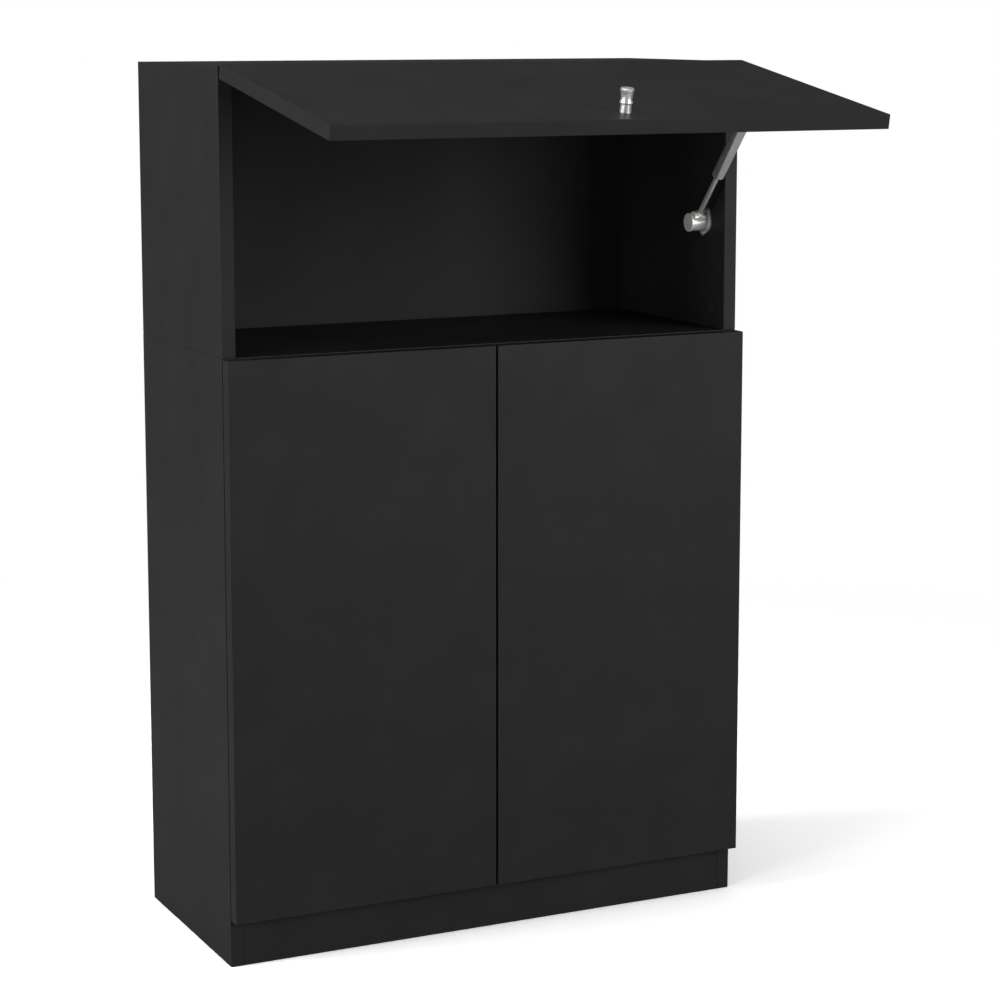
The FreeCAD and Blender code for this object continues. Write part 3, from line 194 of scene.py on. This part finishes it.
def board_material(name, level, rough, relief):
    """Black melamine: a faintly uneven print, pearl relief and edges rubbed a little lighter."""
    material, tree, bsdf = shader(name)
    where = place_in(tree)
    cloud = noise(tree, where, BOARD_CLOUD, 4.0, 0.62)
    pearl = noise(tree, where, BOARD_PEARL, 2.0)
    tone = ramp(tree, cloud, (0.30, grey(level * 0.90, -0.01)), (0.52, grey(level, 0.005)),
                (0.72, grey(level * 1.14, 0.025)))
    fleck = ramp(tree, pearl, (0.35, grey(0.90)), (0.65, grey(1.10)))
    toned = blend(tree, 1.0, tone, fleck, "MULTIPLY")
    wear = noise(tree, where, BOARD_WEAR, 3.0)
    rubbed = node(tree, "Math", {0: edge_mask(tree, RUBBED_WIDTH), 1: wear},
                  operation="MULTIPLY").outputs["Value"]
    tree.links.new(blend(tree, rubbed, toned, (*grey(level * RUBBED_LIGHTER), 1.0)),
                   bsdf.inputs["Base Color"])
    smear = noise(tree, where, BOARD_SMEAR, 5.0, 0.7)
    tree.links.new(spread(tree, smear, rough - 0.05, rough + 0.06), bsdf.inputs["Roughness"])
    bsdf.inputs["Specular IOR Level"].default_value = BOARD_SPECULAR
    bump(tree, bsdf, pearl, relief, BOARD_DEPTH)
    return material


def metal_material(name, level, rough, stretch, warm=0.02, worn=0.05, brushed=0.15, metal=1.0):
    """Plated metal with fine lines from brushing or turning, and duller smudges."""
    material, tree, bsdf = shader(name)
    lines = noise(tree, place_in(tree, stretch), 1.0, 3.0)
    smudge = noise(tree, place_in(tree), METAL_SMUDGE, 4.0, 0.6)
    tone = ramp(tree, smudge, (0.30, grey(level * 0.92, warm)), (0.70, grey(level * 1.05, warm)))
    streak = ramp(tree, lines, (0.35, grey(0.94)), (0.65, grey(1.05)))
    tree.links.new(blend(tree, 1.0, tone, streak, "MULTIPLY"), bsdf.inputs["Base Color"])
    tree.links.new(spread(tree, smudge, rough - worn / 2, rough + worn), bsdf.inputs["Roughness"])
    bsdf.inputs["Metallic"].default_value = metal
    bump(tree, bsdf, lines, brushed, METAL_DEPTH)
    return material


def plastic_material(name, level, rough):
    """Moulded black plastic with spark-eroded grain."""
    material, tree, bsdf = shader(name)
    where = place_in(tree)
    grain = noise(tree, where, PLASTIC_GRAIN, 2.0)
    cloud = noise(tree, where, PLASTIC_CLOUD, 3.0)
    tree.links.new(ramp(tree, cloud, (0.3, grey(level * 0.9)), (0.7, grey(level * 1.15))),
                   bsdf.inputs["Base Color"])
    tree.links.new(spread(tree, cloud, rough - 0.05, rough + 0.05), bsdf.inputs["Roughness"])
    bsdf.inputs["Specular IOR Level"].default_value = PLASTIC_SPECULAR
    bump(tree, bsdf, grain, 0.25, PLASTIC_DEPTH)
    return material


def hardboard_material(name, level):
    """Thin fibreboard painted black: short felted fibres under matt paint."""
    material, tree, bsdf = shader(name)
    fibres = noise(tree, place_in(tree, (1.0, 1.0, 3.0)), HARDBOARD_FIBRES, 4.0, 0.7)
    cloud = noise(tree, place_in(tree), HARDBOARD_CLOUD, 4.0)
    tone = ramp(tree, cloud, (0.3, grey(level * 0.85, 0.03)), (0.7, grey(level * 1.15, 0.03)))
    fleck = ramp(tree, fibres, (0.35, grey(0.80)), (0.65, grey(1.18)))
    tree.links.new(blend(tree, 1.0, tone, fleck, "MULTIPLY"), bsdf.inputs["Base Color"])
    tree.links.new(spread(tree, fibres, 0.62, 0.78), bsdf.inputs["Roughness"])
    bsdf.inputs["Specular IOR Level"].default_value = HARDBOARD_SPECULAR
    bump(tree, bsdf, fibres, 0.35, HARDBOARD_DEPTH)
    return material


def beech_material(name):
    """Pale beech with rays and short pores along the grain."""
    material, tree, bsdf = shader(name)
    grain = noise(tree, place_in(tree, BEECH_GRAIN), 1.0, 4.0)
    pores = noise(tree, place_in(tree, BEECH_PORES), 1.0, 2.0)
    tone = ramp(tree, grain, (0.30, BEECH_DARK), (0.70, BEECH_LIGHT))
    fleck = ramp(tree, pores, (0.40, grey(0.72)), (0.55, grey(1.0)))
    tree.links.new(blend(tree, 1.0, tone, fleck, "MULTIPLY"), bsdf.inputs["Base Color"])
    tree.links.new(spread(tree, grain, 0.55, 0.7), bsdf.inputs["Roughness"])
    bump(tree, bsdf, pores, 0.4, BEECH_DEPTH)
    return material


BOARD_LEVEL = 0.016
BOARD_ROUGH = 0.52
# Line patterns of the metals: waves in a metre along X, Y and Z.
GRAINY = (900.0, 900.0, 900.0)
FINE = (1500.0, 1500.0, 1500.0)
ROLLED = (500.0, 500.0, 60.0)
TURNED = (60.0, 60.0, 2600.0)
TURNED_ACROSS = (2200.0, 160.0, 160.0)
GROUND = (700.0, 700.0, 700.0)
DRAWN = (160.0, 160.0, 2200.0)
FINISHES = {
    "black_board": board_material("black_melamine", BOARD_LEVEL, BOARD_ROUGH, 0.30),
    "back_sheet": hardboard_material("black_hardboard", BOARD_LEVEL),
    "cam_zinc": metal_material("cast_zinc", 0.34, 0.48, GRAINY, 0.01, 0.12, 0.4),
    "fastener_steel": metal_material("zinc_plate", 0.58, 0.32, FINE, metal=0.8),
    "beech": beech_material("beech_wood"),
    "hinge_nickel": metal_material("pressed_nickel", 0.62, 0.30, ROLLED, metal=0.78),
    "knob_metal": metal_material("turned_nickel", 0.86, 0.27, TURNED, 0.01, metal=0.8),
    "strut_nickel": metal_material("satin_nickel", 0.9, 0.34, TURNED_ACROSS, metal=0.5),
    "strut_chrome": metal_material("ground_rod", 0.72, 0.22, GROUND, worn=0.03, metal=0.7),
    "latch_plastic": plastic_material("latch_black", 0.016, 0.5),
}
TUBE_FINISH = metal_material("polished_nickel", 0.92, 0.14, DRAWN, worn=0.03, metal=0.88)
EDGE_BAND = board_material("black_edge_band", BOARD_LEVEL, BOARD_ROUGH, 0.12)


# ---------------------------------------------------------------- CAD nodes
MERGE_WITHIN = 2e-6
REAL_EDGE = math.radians(28)
# A face whose normal lies this far off a board's thin direction is one of its edges.
ACROSS_LIMIT = 0.5
# Shortest edge that is rounded, and its radius, on boards and on fittings.
BOARD_EDGE_FROM, BOARD_ROUNDING = 12 * MM, 0.7 * MM
FITTING_EDGE_FROM, FITTING_ROUNDING = 4.5 * MM, 0.3 * MM


def tidy_group(name, rounded_from, band=None):
    """Geometry nodes for a CAD mesh: joins its split corners, smooths all but real edges,
    marks the edges to round, and gives the faces across a board's thickness their band."""
    tree = bpy.data.node_groups.new(name, "GeometryNodeTree")
    for way in ("INPUT", "OUTPUT"):
        tree.interface.new_socket("Geometry", in_out=way, socket_type="NodeSocketGeometry")

    def put(kind, feeds=(), **settings):
        made = tree.nodes.new(kind)
        for key, value in settings.items():
            setattr(made, key, value)
        for key, value in feeds:
            feed(tree, made, key, value)
        return made

    source = put("NodeGroupInput").outputs[0]
    joined = put("GeometryNodeMergeByDistance",
                 (("Geometry", source), ("Distance", MERGE_WITHIN)))
    plain = put("GeometryNodeRemoveAttribute",
                (("Geometry", joined.outputs[0]), ("Name", "custom_normal")))
    smooth = put("GeometryNodeSetShadeSmooth",
                 (("Geometry", plain.outputs[0]), ("Shade Smooth", True)), domain="FACE")
    angle = put("GeometryNodeInputMeshEdgeAngle").outputs[0]
    real = put("FunctionNodeCompare", ((0, angle), (1, REAL_EDGE)),
               operation="GREATER_THAN", data_type="FLOAT").outputs[0]
    sharp = put("GeometryNodeSetShadeSmooth",
                (("Geometry", smooth.outputs[0]), ("Selection", real), ("Shade Smooth", False)),
                domain="EDGE")
    ends = put("GeometryNodeInputMeshEdgeVertices")
    span = put("ShaderNodeVectorMath", ((0, ends.outputs[2]), (1, ends.outputs[3])),
               operation="DISTANCE").outputs["Value"]
    long = put("FunctionNodeCompare", ((0, span), (1, rounded_from)),
               operation="GREATER_THAN", data_type="FLOAT").outputs[0]
    both = put("FunctionNodeBooleanMath", ((0, real), (1, long)), operation="AND").outputs[0]
    marked = put("GeometryNodeStoreNamedAttribute",
                 (("Geometry", sharp.outputs[0]), ("Selection", both),
                  ("Name", "bevel_weight_edge"), ("Value", 1.0)),
                 domain="EDGE", data_type="FLOAT")
    last = marked.outputs[0]
    if band is not None:
        axis, material = band
        facing = put("GeometryNodeInputNormal").outputs[0]
        along = put("ShaderNodeVectorMath", ((0, facing), (1, axis)),
                    operation="DOT_PRODUCT").outputs["Value"]
        size = put("ShaderNodeMath", ((0, along),), operation="ABSOLUTE").outputs[0]
        across = put("FunctionNodeCompare", ((0, size), (1, ACROSS_LIMIT)),
                     operation="LESS_THAN", data_type="FLOAT").outputs[0]
        last = put("GeometryNodeSetMaterial",
                   (("Geometry", last), ("Selection", across), ("Material", material))).outputs[0]
    out = put("NodeGroupOutput")
    tree.links.new(last, out.inputs[0])
    return tree


def dress(name, group, radius, segments=2):
    """Gives a CAD node its finish, clean shading and slightly rounded edges."""
    part = NODES[name]
    part.data.materials.clear()
    part.data.materials.append(TUBE_FINISH if name == "strut_tube" else FINISHES[SLOT_OF[name]])
    clean = part.modifiers.new("clean", "NODES")
    clean.node_group = group
    rounding = part.modifiers.new("rounding", "BEVEL")
    rounding.limit_method = "WEIGHT"
    rounding.width = radius
    rounding.segments = segments
    rounding.use_clamp_overlap = True
    rounding.harden_normals = True


flap_joint = next(joint for joint in frame["joints"] if joint["name"] == "flap_hinge")
flap_swing = math.radians(flap_joint["range_deg"][1])
FLAP_NORMAL = Vector((0.0, -math.cos(flap_swing), math.sin(flap_swing)))
THIN_AXIS = {
    "lower_left_side": (1, 0, 0), "lower_right_side": (1, 0, 0),
    "upper_left_side": (1, 0, 0), "upper_right_side": (1, 0, 0),
    "upper_top_panel": (0, 0, 1), "lower_top_panel": (0, 0, 1), "lower_bottom_panel": (0, 0, 1),
    "lower_shelf": (0, 0, 1), "middle_shelf": (0, 0, 1), "upper_shelf": (0, 0, 1),
    "plinth_board": (0, 1, 0), "left_door": (0, 1, 0), "right_door": (0, 1, 0),
    "flap_panel": tuple(FLAP_NORMAL),
}
board_groups = {}
for name, axis in THIN_AXIS.items():
    if axis not in board_groups:
        board_groups[axis] = tidy_group("board_%d" % len(board_groups), BOARD_EDGE_FROM,
                                        (axis, EDGE_BAND))
    dress(name, board_groups[axis], BOARD_ROUNDING, 3)

small_group = tidy_group("fitting", FITTING_EDGE_FROM)
for name in NODES:
    if name not in THIN_AXIS:
        dress(name, small_group, FITTING_ROUNDING)


# ---------------------------------------------------------------- fasteners in full detail
def solids_of(name):
    """The corner points of each separate solid of a CAD node, one array per solid."""
    mesh = NODES[name].data
    points = np.empty(len(mesh.vertices) * 3)
    mesh.vertices.foreach_get("co", points)
    points = points.reshape(-1, 3)
    _, label = np.unique(np.round(points, 6), axis=0, return_inverse=True)
    label = label.ravel()
    parent = list(range(label.max() + 1))

    def root(item):
        while parent[item] != item:
            parent[item] = parent[parent[item]]
            item = parent[item]
        return item

    for face in mesh.polygons:
        first, *others = [label[corner] for corner in face.vertices]
        for other in others:
            parent[root(other)] = root(first)
    owner = np.array([root(item) for item in label])
    return [points[owner == item] for item in np.unique(owner)]


def along_axis(points):
    """Middle and unit axis of a turned solid, then how far its wide and narrow ends lie
    along that axis, which points to the wide end."""
    spread_out = points - points.mean(axis=0)
    values, vectors = np.linalg.eigh(spread_out.T @ spread_out)
    guess = vectors[:, int(np.argmax(values))]
    known = [np.array(v) for v in ((1, 0, 0), (0, 1, 0), (0, 0, 1), tuple(FLAP_NORMAL))]
    axis = max(known, key=lambda v: abs(v @ guess))
    across = np.linalg.svd(axis.reshape(1, 3))[2][1:]
    middle = sum((points @ v).min() / 2 * v + (points @ v).max() / 2 * v for v in across)
    heights = points @ axis
    reach = np.linalg.norm(points - middle - np.outer(heights, axis), axis=1)
    half = (heights.min() + heights.max()) / 2
    if reach[heights > half].max() < reach[heights < half].max():
        axis, heights = -axis, -heights
    return Vector(middle), Vector(axis), heights.max(), heights.min()


class Solid:
    """Points and faces of a small piece, built round +Z."""

    def __init__(self):
        self.points, self.faces = [], []

    def ring(self, radii, level, sides, first_angle=0.0):
        """A ring of points; radii is one radius, or one for each point."""
        start = len(self.points)
        for i in range(sides):
            angle = first_angle + 2 * math.pi * i / sides
            radius = radii[i] if isinstance(radii, (list, tuple)) else radii
            self.points.append((radius * math.cos(angle), radius * math.sin(angle), level))
        return list(range(start, start + sides))

    def join(self, low, high):
        """Faces between two rings of the same number of points."""
        for i in range(len(low)):
            j = (i + 1) % len(low)
            self.faces.append((low[i], low[j], high[j], high[i]))

    def turned(self, profile, sides):
        """A closed turned shape from (radii, level) pairs, from the bottom up."""
        rings = [self.ring(radii, level, sides) for radii, level in profile]
        for low, high in zip(rings, rings[1:]):
            self.join(low, high)
        self.faces.append(tuple(reversed(rings[0])))
        self.faces.append(tuple(rings[-1]))


SCREW_SIDES = 36
SCREW_FIRST_ANGLE = math.radians(-24)
# Shares of the head's radius: rounded rim, and length and half width of the recess's arms.
RIM_SHARE, ARM_SHARE, ARM_HALF_SHARE = 0.2, 0.56, 0.14
# The recess narrows to this share of its mouth, and leaves this share of the head below it.
RECESS_NARROWS, RECESS_FLOOR = 0.45, 0.25
RIM_STEPS = (30, 60, 90)
NECK = 0.8 * MM
THREAD_PITCH, THREAD_STEPS = 0.0014, 5
# Radius of the thread's core as a share of its crest, and how steeply the ridge falls off.
CORE_SHARE, RIDGE_STEEPNESS = 0.74, 3.2
TIP_SHARE = 0.12


def screw_solid(radius, head_radius, head_tall, length, taper):
    """A pan-head screw: cross recess, rounded rim, and a helical thread down to the point."""
    made = Solid()
    sides, first = SCREW_SIDES, SCREW_FIRST_ANGLE
    rim = RIM_SHARE * head_radius
    arm, half = ARM_SHARE * head_radius, ARM_HALF_SHARE * head_radius
    cross = [(arm, -half), (arm, half), (half, half), (half, arm),
             (-half, arm), (-half, half), (-arm, half), (-arm, -half),
             (-half, -half), (-half, -arm), (half, -arm), (half, -half)]
    corners = len(cross)
    top = made.ring(head_radius - rim, head_tall, sides, first)
    mouth = len(made.points)
    made.points += [(x, y, head_tall) for x, y in cross]
    floor_start = len(made.points)
    made.points += [(RECESS_NARROWS * x, RECESS_NARROWS * y, RECESS_FLOOR * head_tall)
                    for x, y in cross]
    for i in range(corners):
        j = (i + 1) % corners
        made.faces.append((mouth + i, top[3 * i], top[3 * i + 1]))
        made.faces.append((mouth + i, top[3 * i + 1], top[3 * i + 2]))
        made.faces.append((mouth + i, top[3 * i + 2], top[(3 * i + 3) % sides], mouth + j))
        made.faces.append((mouth + i, mouth + j, floor_start + j, floor_start + i))
    made.faces.append(tuple(floor_start + i for i in range(corners)))
    above = top
    for angle in RIM_STEPS:
        turned_by = math.radians(angle)
        here = made.ring(head_radius - rim + rim * math.sin(turned_by),
                         head_tall - rim + rim * math.cos(turned_by), sides, first)
        made.join(here, above)
        above = here
    for width, level in ((head_radius, 0.0), (radius, 0.0), (radius, -NECK)):
        here = made.ring(width, level, sides, first)
        made.join(here, above)
        above = here
    core = CORE_SHARE * radius
    count = int((length + taper - NECK) / THREAD_PITCH * THREAD_STEPS)
    for step in range(1, count + 1):
        level = -NECK - step * THREAD_PITCH / THREAD_STEPS
        narrow = min(1.0, max(TIP_SHARE, (length + taper + level) / taper))
        radii = []
        for i in range(sides):
            phase = (level / THREAD_PITCH + i / sides) % 1.0
            ridge = max(0.0, 1.0 - abs(phase - 0.5) * RIDGE_STEEPNESS)
            radii.append((core + (radius - core) * ridge) * narrow)
        here = made.ring(radii, level, sides, first)
        made.join(here, above)
        above = here
    made.faces.append(tuple(above))
    return made


DOWEL_RADIUS = 4.0 * MM
DOWEL_SIDES, FLUTE_EVERY = 64, 4
FLUTE_DEPTH, DOWEL_CHAMFER = 0.35 * MM, 0.8 * MM


def dowel_solid(length):
    """A beech dowel with sixteen flutes and chamfered ends."""
    fluted = [DOWEL_RADIUS - (FLUTE_DEPTH if i % FLUTE_EVERY == 0 else 0.0)
              for i in range(DOWEL_SIDES)]
    narrow = [radius - DOWEL_CHAMFER for radius in fluted]
    made = Solid()
    made.turned(((narrow, 0.0), (fluted, DOWEL_CHAMFER), (fluted, length - DOWEL_CHAMFER),
                 (narrow, length)), DOWEL_SIDES)
    return made


SHARP_FROM = math.radians(38)


def build(name, copies, slot, body, replaced=()):
    """One piece from (solid, place) pairs, riding on a body in place of its CAD nodes."""
    points, faces = [], []
    for solid, place in copies:
        start = len(points)
        points += [place @ Vector(point) for point in solid.points]
        faces += [tuple(start + i for i in face) for face in solid.faces]
    mesh = bpy.data.meshes.new(name)
    mesh.from_pydata(points, [], faces)
    shape = bmesh.new()
    shape.from_mesh(mesh)
    bmesh.ops.recalc_face_normals(shape, faces=shape.faces)
    shape.to_mesh(mesh)
    shape.free()
    mesh.polygons.foreach_set("use_smooth", [True] * len(mesh.polygons))
    mesh.set_sharp_from_angle(angle=SHARP_FROM)
    mesh.materials.append(FINISHES[slot])
    made = bpy.data.objects.new(name, mesh)
    bpy.context.scene.collection.objects.link(made)
    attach(made, body)
    if replaced:
        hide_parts(*replaced)


def stand(middle, axis, height):
    """The place of a solid built round +Z that starts at a height along an axis."""
    turn = axis.to_track_quat("Z", "X").to_matrix().to_4x4()
    return Matrix.Translation(middle + axis * height) @ turn


# Screws with a lower head taper to a point this many radii long; the others end blunt.
MACHINE_HEAD_TALL, POINT_RADII, BLUNT_END = 2.0 * MM, 1.6, 0.6 * MM
HEAD_SHARE = 0.33


def screw_set(name, cad_node, body, radius, head_radius, head_tall):
    """Detailed screws where a node's plain ones stand."""
    copies = []
    for points in solids_of(cad_node):
        middle, axis, top, tip = along_axis(points)
        taper = POINT_RADII * radius if head_tall < MACHINE_HEAD_TALL else BLUNT_END
        solid = screw_solid(radius, head_radius, head_tall, top - tip - head_tall - taper, taper)
        copies.append((solid, stand(middle, axis, top - head_tall)))
    build(name, copies, "fastener_steel", body, (cad_node,))


WOOD_SCREW = (1.75 * MM, 3.6 * MM, 3.6 * HEAD_SHARE * MM)
ARM_SCREW = (2.0 * MM, 4.0 * MM, 4.0 * HEAD_SHARE * MM)
KNOB_SCREW = (2.0 * MM, 4.0 * MM, 2.2 * MM)
screw_set("cabinet_screw_set", "cabinet_wood_screws", "cabinet", *WOOD_SCREW)
screw_set("left_door_screw_set", "left_door_wood_screws", "left_door", *WOOD_SCREW)
screw_set("right_door_screw_set", "right_door_wood_screws", "right_door", *WOOD_SCREW)
screw_set("flap_screw_set", "flap_wood_screws", "flap", *WOOD_SCREW)
screw_set("hinge_arm_screw_set", "hinge_arm_screws", "cabinet", *ARM_SCREW)
screw_set("knob_fixing_screw", "knob_screw", "flap", *KNOB_SCREW)

# Each hinge arm also carries its side-adjusting screw, in front of the fixing screw.
ADJUSTER_IN = 0.047
# Radius, head radius, head height, length and taper.
ADJUSTER = (1.6 * MM, 2.8 * MM, 0.9 * MM, 1.6 * MM, 0.4 * MM)
adjusters = []
for name in NODES:
    if not name.endswith("_arm"):
        continue
    low, high = (Vector(corner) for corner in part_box(name))
    middle = (low + high) / 2
    middle.y = high.y - ADJUSTER_IN
    if name.startswith("flap"):
        axis = Vector((0.0, 0.0, -1.0))
        middle.z = low.z
    else:
        axis = Vector((-math.copysign(1.0, middle.x), 0.0, 0.0))
        middle.x = high.x if axis.x > 0 else low.x
    adjusters.append((screw_solid(*ADJUSTER), stand(middle, axis, 0.0)))
build("hinge_adjusting_screws", adjusters, "fastener_steel", "cabinet")

dowels = []
for points in solids_of("dowels"):
    middle, axis, high_end, low_end = along_axis(points)
    dowels.append((dowel_solid(high_end - low_end), stand(middle, axis, low_end)))
build("fluted_dowels", dowels, "beech", "cabinet", ("dowels",))

# Shelf supports: the stem goes into the side, a thin collar lies against the side's face,
# and the peg stands out under the shelf.
STEM_RADIUS, PEG_RADIUS, COLLAR_RADIUS = 2.3 * MM, 2.5 * MM, 3.3 * MM
COLLAR_THICK, COLLAR_ROUND = 0.8 * MM, 0.2 * MM
END_CHAMFER, STEM_CHAMFER_LONG, PEG_CHAMFER_LONG = 0.4 * MM, 0.6 * MM, 0.5 * MM
SUPPORT_SIDES = 32
supports = []
inner_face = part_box("lower_right_side")[0][0]
for points in solids_of("shelf_pins"):
    middle, _, high_end, low_end = along_axis(points)
    side = 1.0 if points[:, 0].mean() > 0 else -1.0
    length = high_end - low_end
    stem = float(abs(points[:, 0]).max()) - inner_face
    front = stem + COLLAR_THICK
    pin = Solid()
    pin.turned(((STEM_RADIUS - END_CHAMFER, 0.0), (STEM_RADIUS, STEM_CHAMFER_LONG),
                (STEM_RADIUS, stem), (COLLAR_RADIUS - COLLAR_ROUND, stem),
                (COLLAR_RADIUS, stem + COLLAR_ROUND), (COLLAR_RADIUS, front - COLLAR_ROUND),
                (COLLAR_RADIUS - COLLAR_ROUND, front), (PEG_RADIUS, front),
                (PEG_RADIUS, length - PEG_CHAMFER_LONG), (PEG_RADIUS - END_CHAMFER, length)),
               SUPPORT_SIDES)
    seat = Vector((side * (inner_face + stem), middle.y, middle.z))
    supports.append((pin, stand(seat, Vector((-side, 0.0, 0.0)), 0.0)))
build("shelf_supports", supports, "fastener_steel", "cabinet", ("shelf_pins",))

# Black caps hide the cams that would show inside the compartments. Cams that face the back
# or lie under the bottom board stay bare.
LOWEST_CAPPED = 0.1
# Radius and height in millimetres, from the foot to the dimple in the middle.
CAP_PROFILE = ((8.6, 0.02), (8.6, 0.6), (8.5, 0.8), (8.1, 1.1), (7.2, 1.3), (1.2, 1.4),
               (0.8, 1.2))
CAP_SIDES = 48
cap = Solid()
cap.turned([(radius * MM, level * MM) for radius, level in CAP_PROFILE], CAP_SIDES)
caps = []
for points in solids_of("cam_locks"):
    low, high = Vector(points.min(axis=0)), Vector(points.max(axis=0))
    size = high - low
    thin = min(range(3), key=lambda i: size[i])
    middle = (low + high) / 2
    if thin == 1 or middle.z < LOWEST_CAPPED:
        continue
    axis = Vector((0.0, 0.0, 0.0))
    axis[thin] = -1.0 if thin == 2 else -math.copysign(1.0, middle.x)
    caps.append((cap, stand(middle, axis, size[thin] / 2)))
build("cam_cover_caps", caps, "latch_plastic", "cabinet")


# ---------------------------------------------------------------- stage, light and camera
WHITE = (1.0, 1.0, 1.0, 1.0)
FLOOR_HALF, FLOOR_DROP = 30.0, 0.4 * MM
FLOOR_DARK, FLOOR_LIGHT, FLOOR_CLOUD = 0.31, 0.33, 2.0
# How pale the camera sees the floor, and the distances over which it fades to white.
FLOOR_BOOST = 1.8
FADE_FROM, FADE_TO = 1.0, 2.4
SKY_TONES = ((0.45, grey(0.10)), (0.55, grey(0.16)), (1.0, grey(0.20)))
# Name, place, aim, size and watts.
LIGHTS = (
    ("overhead", (-0.4, -0.2, 3.6), (0.0, 0.0, 0.6), (3.6, 3.2), 36.0),
    ("left_box", (-3.6, 0.5, 1.35), (0.0, 0.1, 0.7), (2.0, 2.2), 118.0),
    ("left_front_box", (-3.4, -1.6, 1.3), (0.0, 0.0, 0.9), (1.0, 2.0), 34.0),
    ("front_box", (2.2, -4.0, 1.7), (0.0, 0.0, 0.7), (2.6, 2.4), 158.0),
)
CAMERA_AT = (-1.4536, -3.0050, 1.1763)
CAMERA_YAW, CAMERA_PITCH = math.radians(25.83), math.radians(8.57)
SENSOR_MM, LENS_MM, SHIFT_UP = 36.0, 96.17, -0.08


def floor():
    """A pale floor that takes the cabinet's soft shadow and fades into the backdrop."""
    mesh = bpy.data.meshes.new("studio_floor")
    half = FLOOR_HALF
    mesh.from_pydata([(-half, -half, 0), (half, -half, 0), (half, half, 0), (-half, half, 0)], [],
                     [(0, 1, 2, 3)])
    made = bpy.data.objects.new("studio_floor", mesh)
    made.location.z = -FLOOR_DROP
    bpy.context.scene.collection.objects.link(made)
    material = bpy.data.materials.new("pale_floor")
    material.use_nodes = True
    tree = material.node_tree
    tree.nodes.clear()
    where = node(tree, "TexCoord").outputs["Object"]
    cloud = noise(tree, where, FLOOR_CLOUD, 3.0)
    tone = ramp(tree, cloud, (0.3, grey(FLOOR_DARK)), (0.7, grey(FLOOR_LIGHT)))
    shaded = node(tree, "BsdfDiffuse", {"Color": tone})
    pale = node(tree, "BsdfDiffuse", {"Color": (FLOOR_BOOST, FLOOR_BOOST, FLOOR_BOOST, 1.0)})
    far = node(tree, "VectorMath", {0: where}, operation="LENGTH").outputs["Value"]
    fade = node(tree, "MapRange", {"Value": far, "From Min": FADE_FROM, "From Max": FADE_TO},
                interpolation_type="SMOOTHSTEP").outputs["Result"]
    white = node(tree, "Emission", {"Color": WHITE, "Strength": 1.0})
    seen = node(tree, "MixShader", {0: fade, 1: pale.outputs[0], 2: white.outputs[0]})
    direct = node(tree, "LightPath").outputs["Is Camera Ray"]
    mixed = node(tree, "MixShader", {0: direct, 1: shaded.outputs[0], 2: seen.outputs[0]})
    tree.links.new(mixed.outputs[0], node(tree, "OutputMaterial").inputs["Surface"])
    mesh.materials.append(material)
    made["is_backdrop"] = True


def sky():
    """Soft grey surroundings that the camera sees as a plain white backdrop."""
    world = bpy.data.worlds.new("studio")
    bpy.context.scene.world = world
    world.use_nodes = True
    tree = world.node_tree
    tree.nodes.clear()
    out = node(tree, "OutputWorld")
    up = node(tree, "SeparateXYZ", {"Vector": node(tree, "TexCoord").outputs["Generated"]})
    level = node(tree, "MapRange", {
        "Value": up.outputs["Z"], "From Min": -1.0, "From Max": 1.0}).outputs["Result"]
    around = node(tree, "Background", {"Color": ramp(tree, level, *SKY_TONES), "Strength": 1.0})
    seen = node(tree, "Background", {"Color": WHITE, "Strength": 1.0})
    direct = node(tree, "LightPath").outputs["Is Camera Ray"]
    mixed = node(tree, "MixShader", {0: direct, 1: around.outputs[0], 2: seen.outputs[0]})
    tree.links.new(mixed.outputs[0], out.inputs["Surface"])


def softbox(name, where, aim, size, power):
    """A rectangular area light that faces a point."""
    data = bpy.data.lights.new(name, "AREA")
    data.shape = "RECTANGLE"
    data.size, data.size_y = size
    data.energy = power
    made = bpy.data.objects.new(name, data)
    made.location = where
    made.rotation_euler = (Vector(aim) - Vector(where)).to_track_quat("-Z", "Y").to_euler()
    bpy.context.scene.collection.objects.link(made)


def camera():
    """The camera that gives the main view."""
    data = bpy.data.cameras.new("camera")
    made = bpy.data.objects.new("camera", data)
    bpy.context.scene.collection.objects.link(made)
    bpy.context.scene.camera = made
    ahead = Vector((math.sin(CAMERA_YAW) * math.cos(CAMERA_PITCH),
                    math.cos(CAMERA_YAW) * math.cos(CAMERA_PITCH), -math.sin(CAMERA_PITCH)))
    made.location = CAMERA_AT
    made.rotation_mode = "QUATERNION"
    made.rotation_quaternion = ahead.to_track_quat("-Z", "Y")
    data.sensor_width = SENSOR_MM
    data.lens = LENS_MM
    data.shift_y = SHIFT_UP


floor()
sky()
for light in LIGHTS:
    softbox(*light)
bpy.context.scene.view_settings.view_transform = "Standard"
camera()

low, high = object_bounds()
